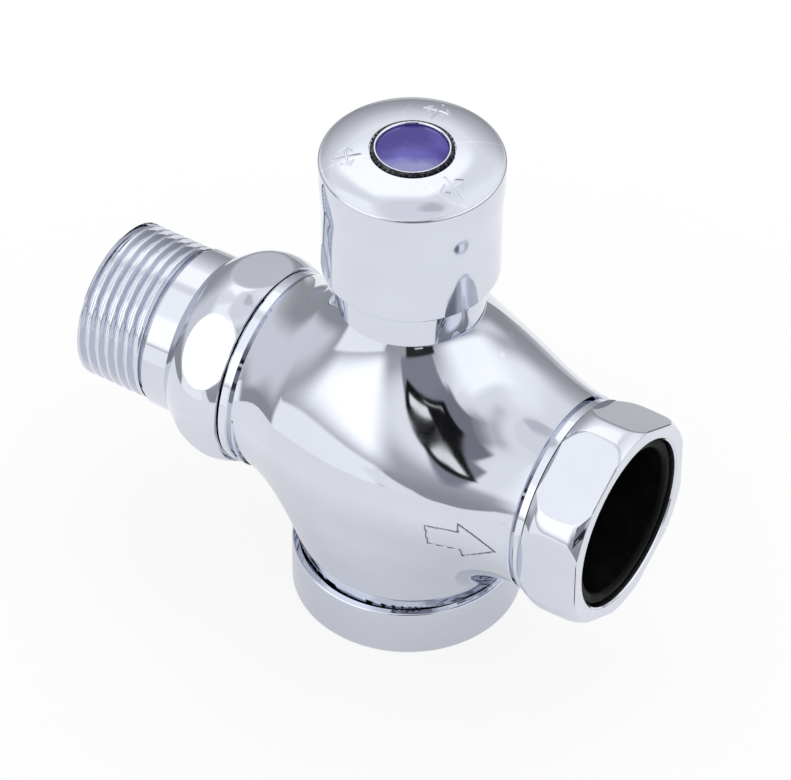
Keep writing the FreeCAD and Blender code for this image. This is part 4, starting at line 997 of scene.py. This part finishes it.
class VALVE_OT_index(Builder, bpy.types.Operator):
    """Build the toothed ring, the violet disc and the domed lens in the button"""
    bl_idname = "valve.index"
    bl_label = "Index"

    def make(self, d):
        seat, outer, lens_r, hole_r = d.index_seat, d.ring_r, d.lens_r, d.lens_r - 0.8
        top, floor = seat + 1.0, d.crease - 1.2
        rows, _ = outline([
            [(outer, seat), (outer, top - 0.48)],
            [(outer, top - 0.48), (outer - 0.25, top - 0.3), (outer - 0.55, top - 0.12), (outer - 0.85, top)],
            [(lens_r + 0.12, top)], [(lens_r, top - 0.2)], [(lens_r, floor + 2.3)], [(hole_r, floor + 2.3)],
            [(hole_r, floor)], [(outer - 0.6, floor)], [(outer - 0.6, seat)]], 0.05)
        phi = around(d.ring_teeth * 16)
        off = np.abs((phi * d.ring_teeth / (2 * math.pi)) % 1 - 0.5) * 2
        notch = 0.62 * (1 - np.sqrt(1 - 0.97 * off ** 2))
        r, z = rows[:, 0][:, None], rows[:, 1][:, None]
        cut = np.where(z > seat - 0.01, np.clip((r - outer + 0.85) / 0.35, 0, 1), 0)
        radius = r - notch * cut
        points = np.stack([radius * np.cos(phi), radius * np.sin(phi), z + 0 * radius], -1)
        across = (np.roll(points, -1, 1) - np.roll(points, 1, 1)) / 2
        place, away, faces, _ = patch(points, unit(np.cross(across, np.gradient(points, axis=0))))
        middle_r = np.hypot(*place[faces].mean(1)[:, :2].T)
        ring = place, away, faces, ((middle_r > lens_r + 0.36) | (middle_r < lens_r - 0.05)).astype(int)
        build("toothed_ring", [ring], ["plated metal", "dark ring"], "button", ["index_bezel"])
        fit_r, low, edge = lens_r - 0.05, floor + 2.7, seat + 0.35
        disc = outline([[(0, floor + 2.3), (fit_r, floor + 2.3)], [(fit_r, low)], [(0, low)]], 0.05,
                       closed=False)
        build("index_plate", [turned_z(facing_out(disc, (3, floor + 2.5)), 120)], ["violet disc"], "button",
              ["index_disc"])
        lens = outline([[(0, low), (fit_r, low)], [(fit_r, edge)],
                        [(fit_r, edge), (lens_r / 2, edge + 0.748), (0, edge + 1.0)]], 0.12, closed=False)
        build("index_window", [turned_z(facing_out(lens, (3, edge)), 240)], ["violet lens"], "button",
              ["index_lens"])


class VALVE_OT_seals(Builder, bpy.types.Operator):
    """Build the rubber sleeve in the nut and the gasket behind the inlet hexagon"""
    bl_idname = "valve.seals"
    bl_label = "Sleeve and gasket"

    def make(self, d):
        sleeve_r = d.spigot_r - 2.05
        bore, flange_r, nose_r = d.spigot_r - 3.5, d.spigot_r - 0.3, d.nut_hole_r - 0.12
        tail, face = d.outlet_x - 7.1, d.outlet_x + 6.4
        flange, nose = d.nut_front - d.nut_lip - 1.2, d.nut_front - 1.1
        lead = 1.05
        rows = outline([
            [(tail, bore), (tail, sleeve_r)], [(face, sleeve_r)], [(face, flange_r)],
            [(flange, flange_r)], [(flange, nose_r)], [(nose - 0.9, nose_r)],
            [(nose - 0.9, nose_r), (nose - 0.25, nose_r - 0.3), (nose, bore + lead)],
            [(nose, bore + lead), (nose - 0.293 * lead, bore + 0.293 * lead), (nose - lead, bore)],
            [(tail, bore)]], 0.12)
        build("rubber_sleeve", [turned_x(rows, 360, d.axis)], ["black rubber"], "valve", ["outlet_seal"])
        low, high = d.hex_front, d.inlet_x
        inner, outer = d.thread_r - 0.875, d.pipe_r - 0.2
        rows = outline([[(low, inner), (low, outer)],
                        [(low, outer), ((low + high) / 2, outer + 0.1), (high, outer)],
                        [(high, inner)], [(low, inner)]], 0.1)
        build("joint_gasket", [turned_x(rows, 300, d.axis)], ["black rubber"], "valve", ["inlet_gasket"])


# Springs and inner parts

def coil(mean, wire, low, high, turns):
    """Round wire wound between two levels, with flat closed ends."""
    z0, z1 = low + wire, high - wire
    total = turns + 2.0
    t = np.linspace(0, total, int(total * 40) + 1)
    rise = 2.15 * wire
    z = np.interp(t, [0, 1, turns + 1, total], [z0, z0 + rise, z1 - rise, z1])
    z = np.convolve(np.pad(z, 6, mode="reflect", reflect_type="odd"), np.ones(13) / 13, mode="valid")
    a = 2 * math.pi * t
    centre = np.stack([mean * np.cos(a), mean * np.sin(a), z], -1)
    along = unit(np.gradient(centre, axis=0))
    side = np.stack([np.cos(a), np.sin(a), 0 * a], -1)
    over = np.cross(along, side)
    phi = around(14)
    out = side[:, None] * np.cos(phi)[None, :, None] + over[:, None] * np.sin(phi)[None, :, None]
    tube = patch(centre[:, None] + wire * out, out)
    ends = []
    for k, way in ((0, -1), (-1, 1)):
        ring = np.stack([centre[k] + 0 * out[k], centre[k] + wire * 0.999 * out[k]])
        ends.append(patch(ring, np.broadcast_to(way * along[k], ring.shape)))
    return [tube, *ends]


class VALVE_OT_springs(Builder, bpy.types.Operator):
    """Wind the three springs"""
    bl_idname = "valve.springs"
    bl_label = "Springs"

    def make(self, d):
        wound = (
            ("button_coil", "button_spring", "regulator", "button_press", 0.65, 4.0),
            ("piston_coil", "piston_spring", "valve", "piston_drop", 0.65, 3.5),
            ("pilot_coil", "pilot_spring", "piston", "pilot_open", 0.35, 2.5),
        )
        for name, node, body, joint, wire, turns in wound:
            low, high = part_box(node)
            piece = build(name, coil(high.x / MM - wire, wire, low.z / MM, high.z / MM, turns),
                          ["spring steel"], body, [node])
            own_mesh(piece)


class VALVE_OT_inner_parts(Builder, bpy.types.Operator):
    """Give the working parts inside their own finishes"""
    bl_idname = "valve.inner_parts"
    bl_label = "Inner parts"

    def make(self, d):
        by_slot = {"brass": "turned brass", "steel": "spring steel", "rubber": "black rubber",
                   "plastic": "white nylon", "blue": "violet disc", "clear": "violet lens",
                   "plated": "plated metal"}
        slots = {row["node"]: row["material_slot"] for row in frame["record"]["subparts"]}
        for name, node in NODES.items():
            if not node.hide_render:
                node.data.materials.clear()
                node.data.materials.append(finish(by_slot[slots[name]]))


# Stage

def direction(azimuth, elevation):
    a, e = math.radians(azimuth), math.radians(elevation)
    return Vector((math.cos(a) * math.cos(e), math.sin(a) * math.cos(e), math.sin(e)))


def panel_group():
    """Node group: how much of one soft-edged panel of the tent lies in a direction."""
    group = bpy.data.node_groups.new("tent panel", "ShaderNodeTree")
    for kind, names in (("Vector", ("Direction", "Middle", "Side", "Up")),
                        ("Float", ("Rise", "Half width", "Half height", "Soft width", "Soft height"))):
        for name in names:
            group.interface.new_socket(name=name, in_out="INPUT", socket_type="NodeSocket" + kind)
    group.interface.new_socket(name="Seen", in_out="OUTPUT", socket_type="NodeSocketFloat")
    g = Nodes(group)
    given = g.add("NodeGroupInput").outputs

    def dot(name):
        return g.made("ShaderNodeVectorMath", {0: given["Direction"], 1: given[name]}, "Value",
                      operation="DOT_PRODUCT")

    across = g.mix("ABSOLUTE", g.mix("ARCTAN2", dot("Side"), dot("Middle")))
    over = g.mix("ABSOLUTE", g.mix("SUBTRACT", g.mix("ARCSINE", dot("Up")), given["Rise"]))
    seen = []
    for angle, half, soft in ((across, "Half width", "Soft width"), (over, "Half height", "Soft height")):
        inside = g.mix("ADD", g.mix("SUBTRACT", given[half], angle), given[soft])
        ramp = g.mix("DIVIDE", inside, g.mix("MULTIPLY", given[soft], 2.0))
        seen.append(g.made("ShaderNodeMapRange", {"Value": ramp}, interpolation_type="SMOOTHSTEP"))
    g.feed(g.add("NodeGroupOutput").inputs["Seen"], g.mix("MULTIPLY", *seen))
    return group


# Panels of the tent: name, azimuth, elevation, half width, half height, soft width, soft height, all in
# degrees; tilt in degrees, or None for a panel that follows the horizon; level; share of blue.
TENT_PANELS = (
    ("rear left cloth", -175, 16, 20, 20, 9, 5, None, 0.82, 1.03),
    ("rear sweep", 113, -14, 18, 5, 6, 3, None, 0.66, 1.02),
    ("left sweep", -121, -9, 27, 12.5, 3, 0.8, None, 1.14, 1.0),
    ("sweep corner", -90, -12, 13, 5, 2, 0.8, -55, 1.02, 1.0),
    ("left wall", -110, 41, 39, 24, 4, 6, None, 1.04, 1.0),
    ("left softbox", -118, 34, 25, 28, 8, 5, None, 1.5, 1.0),
    ("left top softbox", -145, 56, 35, 15, 8, 5, None, 1.22, 1.0),
    ("right sweep", 50, 0, 18, 6, 12, 6, None, 0.88, 1.02),
    ("right wall", 55, 43, 28, 26, 16, 12, None, 1.14, 1.0),
    ("right softbox", 12, 26, 34, 20, 18, 5, None, 1.36, 1.0),
    ("rear softbox", 133, 55, 28, 15, 9, 6, None, 1.4, 1.0),
    ("overhead cloth", 0, 90, 200, 16.5, 1, 1.2, None, 0.93, 1.02),
    ("overhead dark", 62, 79, 36, 6, 12, 4, None, 0.68, 1.04),
    ("front upper", -28, 61, 40, 6, 14, 6, None, 0.76, 1.04),
    ("front fade", -42, 52, 18, 8, 9, 7, None, 0.5, 1.06),
    ("front shade", -56, 22, 18.5, 14, 1.2, 2, None, 0.28, 1.14),
    ("front core", -50, 42, 17, 9, 2, 4, None, 0.23, 1.14),
    ("black flag", -61.5, 31.2, 14, 3.9, 1.0, 0.8, 40, 0.01, 1.0),
    ("flag window", -66.5, 27.8, 5.5, 1.1, 0.8, 0.4, 40, 1.0, 0.97),
    ("flag slit", -56, 32.5, 6, 0.3, 0.5, 0.25, 40, 0.4, 0.97),
    ("low flag", -51, 6.5, 17, 4.4, 1.2, 1.2, 4, 0.03, 1.0),
    ("low slit", -52, 5, 5, 0.5, 1.0, 0.3, 4, 0.9, 1.0),
)
# Grey of the cloth near the horizon: elevation in degrees and level
CLOTH_LEVELS = ((-20, 0.36), (-7, 0.37), (0, 0.41), (6, 0.45), (10, 0.50), (15, 0.55), (20, 0.62), (26, 0.74),
                (31, 0.85), (36, 0.96), (40, 1.0))


def stage_object(name, shape, material, **values):
    """Simple round mesh of the stage."""
    mesh = bpy.data.meshes.new(name)
    work = bmesh.new()
    shape(work, **values)
    work.to_mesh(mesh)
    work.free()
    mesh.materials.append(material)
    thing = bpy.data.objects.new(name, mesh)
    bpy.context.scene.collection.objects.link(thing)
    return thing


def light_tent():
    """Large round tent that only the mirror surfaces see: pale cloth, softboxes and dark flags."""
    f = Finish("tent cloth")
    way = f.made("ShaderNodeVectorMath", {0: f.place}, operation="NORMALIZE")
    height = f.made("ShaderNodeSeparateXYZ", {0: way}, "Z")
    rise = f.mix("ARCSINE", height)
    low, high = (math.radians(CLOTH_LEVELS[i][0]) for i in (0, -1))
    cloth = f.add("ShaderNodeValToRGB")
    stops = cloth.color_ramp.elements
    while len(stops) < len(CLOTH_LEVELS):
        stops.new(0.5)
    for stop, (at, grey) in zip(stops, CLOTH_LEVELS):
        stop.position = (math.radians(at) - low) / (high - low)
        stop.color = (grey, grey, min(1.0, grey * (1.0 + 0.06 * (1 - grey))), 1.0)
    f.feed(cloth.inputs["Fac"], f.spread(rise, 0.0, 1.0, low, high))
    seen = cloth.outputs["Color"]
    cover = f.spread(rise, 1.0, 0.0, math.radians(38), math.radians(40))
    group = panel_group()
    for name, azimuth, elevation, half_w, half_h, soft_w, soft_h, tilt, grey, blue in TENT_PANELS:
        centre = direction(azimuth, 0 if tilt is None else elevation)
        side = direction(azimuth + 90, 0)
        values = {"Direction": way, "Middle": centre, "Side": side}
        if tilt is None:
            values["Rise"] = math.radians(elevation)
        else:
            side.rotate(Matrix.Rotation(math.radians(tilt), 3, centre))
        values["Up"] = centre.cross(side)
        for key, angle in (("Half width", half_w), ("Half height", half_h), ("Soft width", soft_w),
                           ("Soft height", soft_h)):
            values[key] = math.radians(angle)
        panel = f.add("ShaderNodeGroup", node_tree=group, label=name)
        for key, value in values.items():
            f.feed(panel.inputs[key], value)
        seen = f.blend(panel.outputs["Seen"], seen, (grey, grey, grey * blue))
        cover = f.mix("MAXIMUM", cover, panel.outputs["Seen"])
    glow = f.made("ShaderNodeEmission", {"Color": seen})
    open_air = f.made("ShaderNodeBsdfTransparent", {})
    f.show(f.made("ShaderNodeMixShader", {0: cover, 1: open_air, 2: glow}))
    tent = stage_object("light tent", bmesh.ops.create_icosphere, f.material, subdivisions=4, radius=3.0)
    for ray in ("camera", "diffuse", "shadow", "volume_scatter"):
        setattr(tent, "visible_" + ray, False)


def white_world(level):
    """World: white to the camera, to mirrors and through glass; plain soft light for the rest."""
    world = bpy.data.worlds.new("white room")
    bpy.context.scene.world = world
    world.use_nodes = True
    world.node_tree.nodes.clear()
    w = Nodes(world.node_tree)
    soft, white = (w.made("ShaderNodeBackground", {"Color": (1.0, 1.0, 1.0), "Strength": strength})
                   for strength in (level, 1.0))
    path = w.add("ShaderNodeLightPath").outputs
    shown = w.mix("MAXIMUM", path["Is Camera Ray"],
                  w.mix("MAXIMUM", path["Is Glossy Ray"], path["Is Transmission Ray"]))
    both = w.made("ShaderNodeMixShader", {0: shown, 1: soft, 2: white})
    w.feed(w.add("ShaderNodeOutputWorld").inputs["Surface"], both)


def pale_floor(rgb):
    """Round plain sheet that keeps the shadow and shows near white, whiter still towards its rim."""
    f = Finish("pale floor")
    colour_seen = f.blend(f.noise(9.0), tone(rgb, 0.985), tone(rgb, 1.0))
    plain = f.made("ShaderNodeBsdfDiffuse", {"Color": colour_seen})
    white = f.made("ShaderNodeEmission", {"Color": (1.0, 1.0, 1.0), "Strength": 1.0})
    out = f.made("ShaderNodeVectorMath", {0: f.place}, "Value", operation="LENGTH")
    path = f.add("ShaderNodeLightPath").outputs
    seen = f.mix("MULTIPLY", path["Is Camera Ray"], f.spread(out, 0.86, 1.0, 0.05, 0.14))
    mirrored = f.mix("MAXIMUM", path["Is Glossy Ray"], path["Is Transmission Ray"])
    mirrored = f.mix("MULTIPLY", mirrored, f.spread(out, 0.42, 1.0, 0.03, 0.07))
    f.show(f.made("ShaderNodeMixShader", {0: f.mix("MAXIMUM", seen, mirrored), 1: plain, 2: white}))
    floor = stage_object("floor", bmesh.ops.create_circle, f.material, cap_ends=True, segments=128,
                         radius=0.178)
    floor.location.z = -0.0002


def soft_lamp(name, azimuth, elevation, distance, side, watts):
    """Square soft lamp that faces the object."""
    lamp = bpy.data.lights.new(name, "AREA")
    lamp.shape = "SQUARE"
    lamp.size = side
    lamp.energy = watts
    holder = bpy.data.objects.new(name, lamp)
    way = direction(azimuth, elevation)
    holder.location = way * distance + Vector((0, 0, 0.05))
    holder.rotation_mode = "QUATERNION"
    holder.rotation_quaternion = way.to_track_quat("Z", "Y")
    holder.visible_glossy = False
    bpy.context.scene.collection.objects.link(holder)


def place_camera(s):
    """Camera at the stage settings' angles, looking at the middle of the object."""
    lens = bpy.data.cameras.new("camera")
    lens.lens = s.lens
    lens.sensor_width = 36.0
    lens.clip_start, lens.clip_end = 0.05, 20.0
    camera = bpy.data.objects.new("camera", lens)
    a, e, roll = (math.radians(v) for v in (s.azimuth, s.elevation, s.roll))
    back = Vector((math.sin(a) * math.cos(e), -math.cos(a) * math.cos(e), math.sin(e)))
    right = Vector((math.cos(a), math.sin(a), 0))
    over = back.cross(right)
    axes = Matrix((right * math.cos(roll) + over * math.sin(roll),
                   over * math.cos(roll) - right * math.sin(roll), back)).transposed()
    camera.matrix_world = Matrix.Translation(Vector(LOOK_AT) + back * s.distance) @ axes.to_4x4()
    bpy.context.scene.collection.objects.link(camera)
    bpy.context.scene.camera = camera


class VALVE_OT_stage(bpy.types.Operator):
    """Set up the floor, the light tent, the lamps and the camera"""
    bl_idname = "valve.stage"
    bl_label = "Stage"

    def execute(self, context):
        s = context.scene.valve_stage
        white_world(s.room)
        light_tent()
        pale_floor(tuple(s.floor))
        soft_lamp("top lamp", 100, 68, 1.1, 0.5, 1.6)
        soft_lamp("side lamp", 15, 38, 1.1, 0.4, 0.9)
        place_camera(s)
        context.scene.view_settings.view_transform = "Standard"
        return {"FINISHED"}


# Panel and registration

BUILDERS = (VALVE_OT_body, VALVE_OT_inlet_connector, VALVE_OT_coupling_nut, VALVE_OT_bottom_cap,
            VALVE_OT_bonnet, VALVE_OT_button, VALVE_OT_index, VALVE_OT_seals, VALVE_OT_springs,
            VALVE_OT_inner_parts, VALVE_OT_stage)


class VALVE_PT_sidebar(bpy.types.Panel):
    """Lists the builders and the settings"""
    bl_label = "Flush valve"
    bl_idname = "VALVE_PT_sidebar"
    bl_space_type = "VIEW_3D"
    bl_region_type = "UI"
    bl_category = "Valve"

    def draw(self, context):
        for group in (context.scene.valve_sizes, context.scene.valve_finishes, context.scene.valve_stage):
            box = self.layout.box()
            for key in group.__annotations__:
                box.prop(group, key)
        for builder in BUILDERS:
            self.layout.operator(builder.bl_idname)


CLASSES = (ValveSizes, ValveFinishes, ValveStage, *BUILDERS, VALVE_PT_sidebar)


def register():
    for cls in CLASSES:
        bpy.utils.register_class(cls)
    bpy.types.Scene.valve_sizes = bpy.props.PointerProperty(type=ValveSizes)
    bpy.types.Scene.valve_finishes = bpy.props.PointerProperty(type=ValveFinishes)
    bpy.types.Scene.valve_stage = bpy.props.PointerProperty(type=ValveStage)


def unregister():
    for key in ("valve_sizes", "valve_finishes", "valve_stage"):
        delattr(bpy.types.Scene, key)
    for cls in reversed(CLASSES):
        bpy.utils.unregister_class(cls)


def main():
    register()
    bpy.ops.valve.body()
    bpy.ops.valve.inlet_connector()
    bpy.ops.valve.coupling_nut()
    bpy.ops.valve.bottom_cap()
    bpy.ops.valve.bonnet()
    bpy.ops.valve.button()
    bpy.ops.valve.index()
    bpy.ops.valve.seals()
    bpy.ops.valve.springs()
    bpy.ops.valve.inner_parts()
    bpy.ops.valve.stage()


if __name__ == "__main__":
    main()
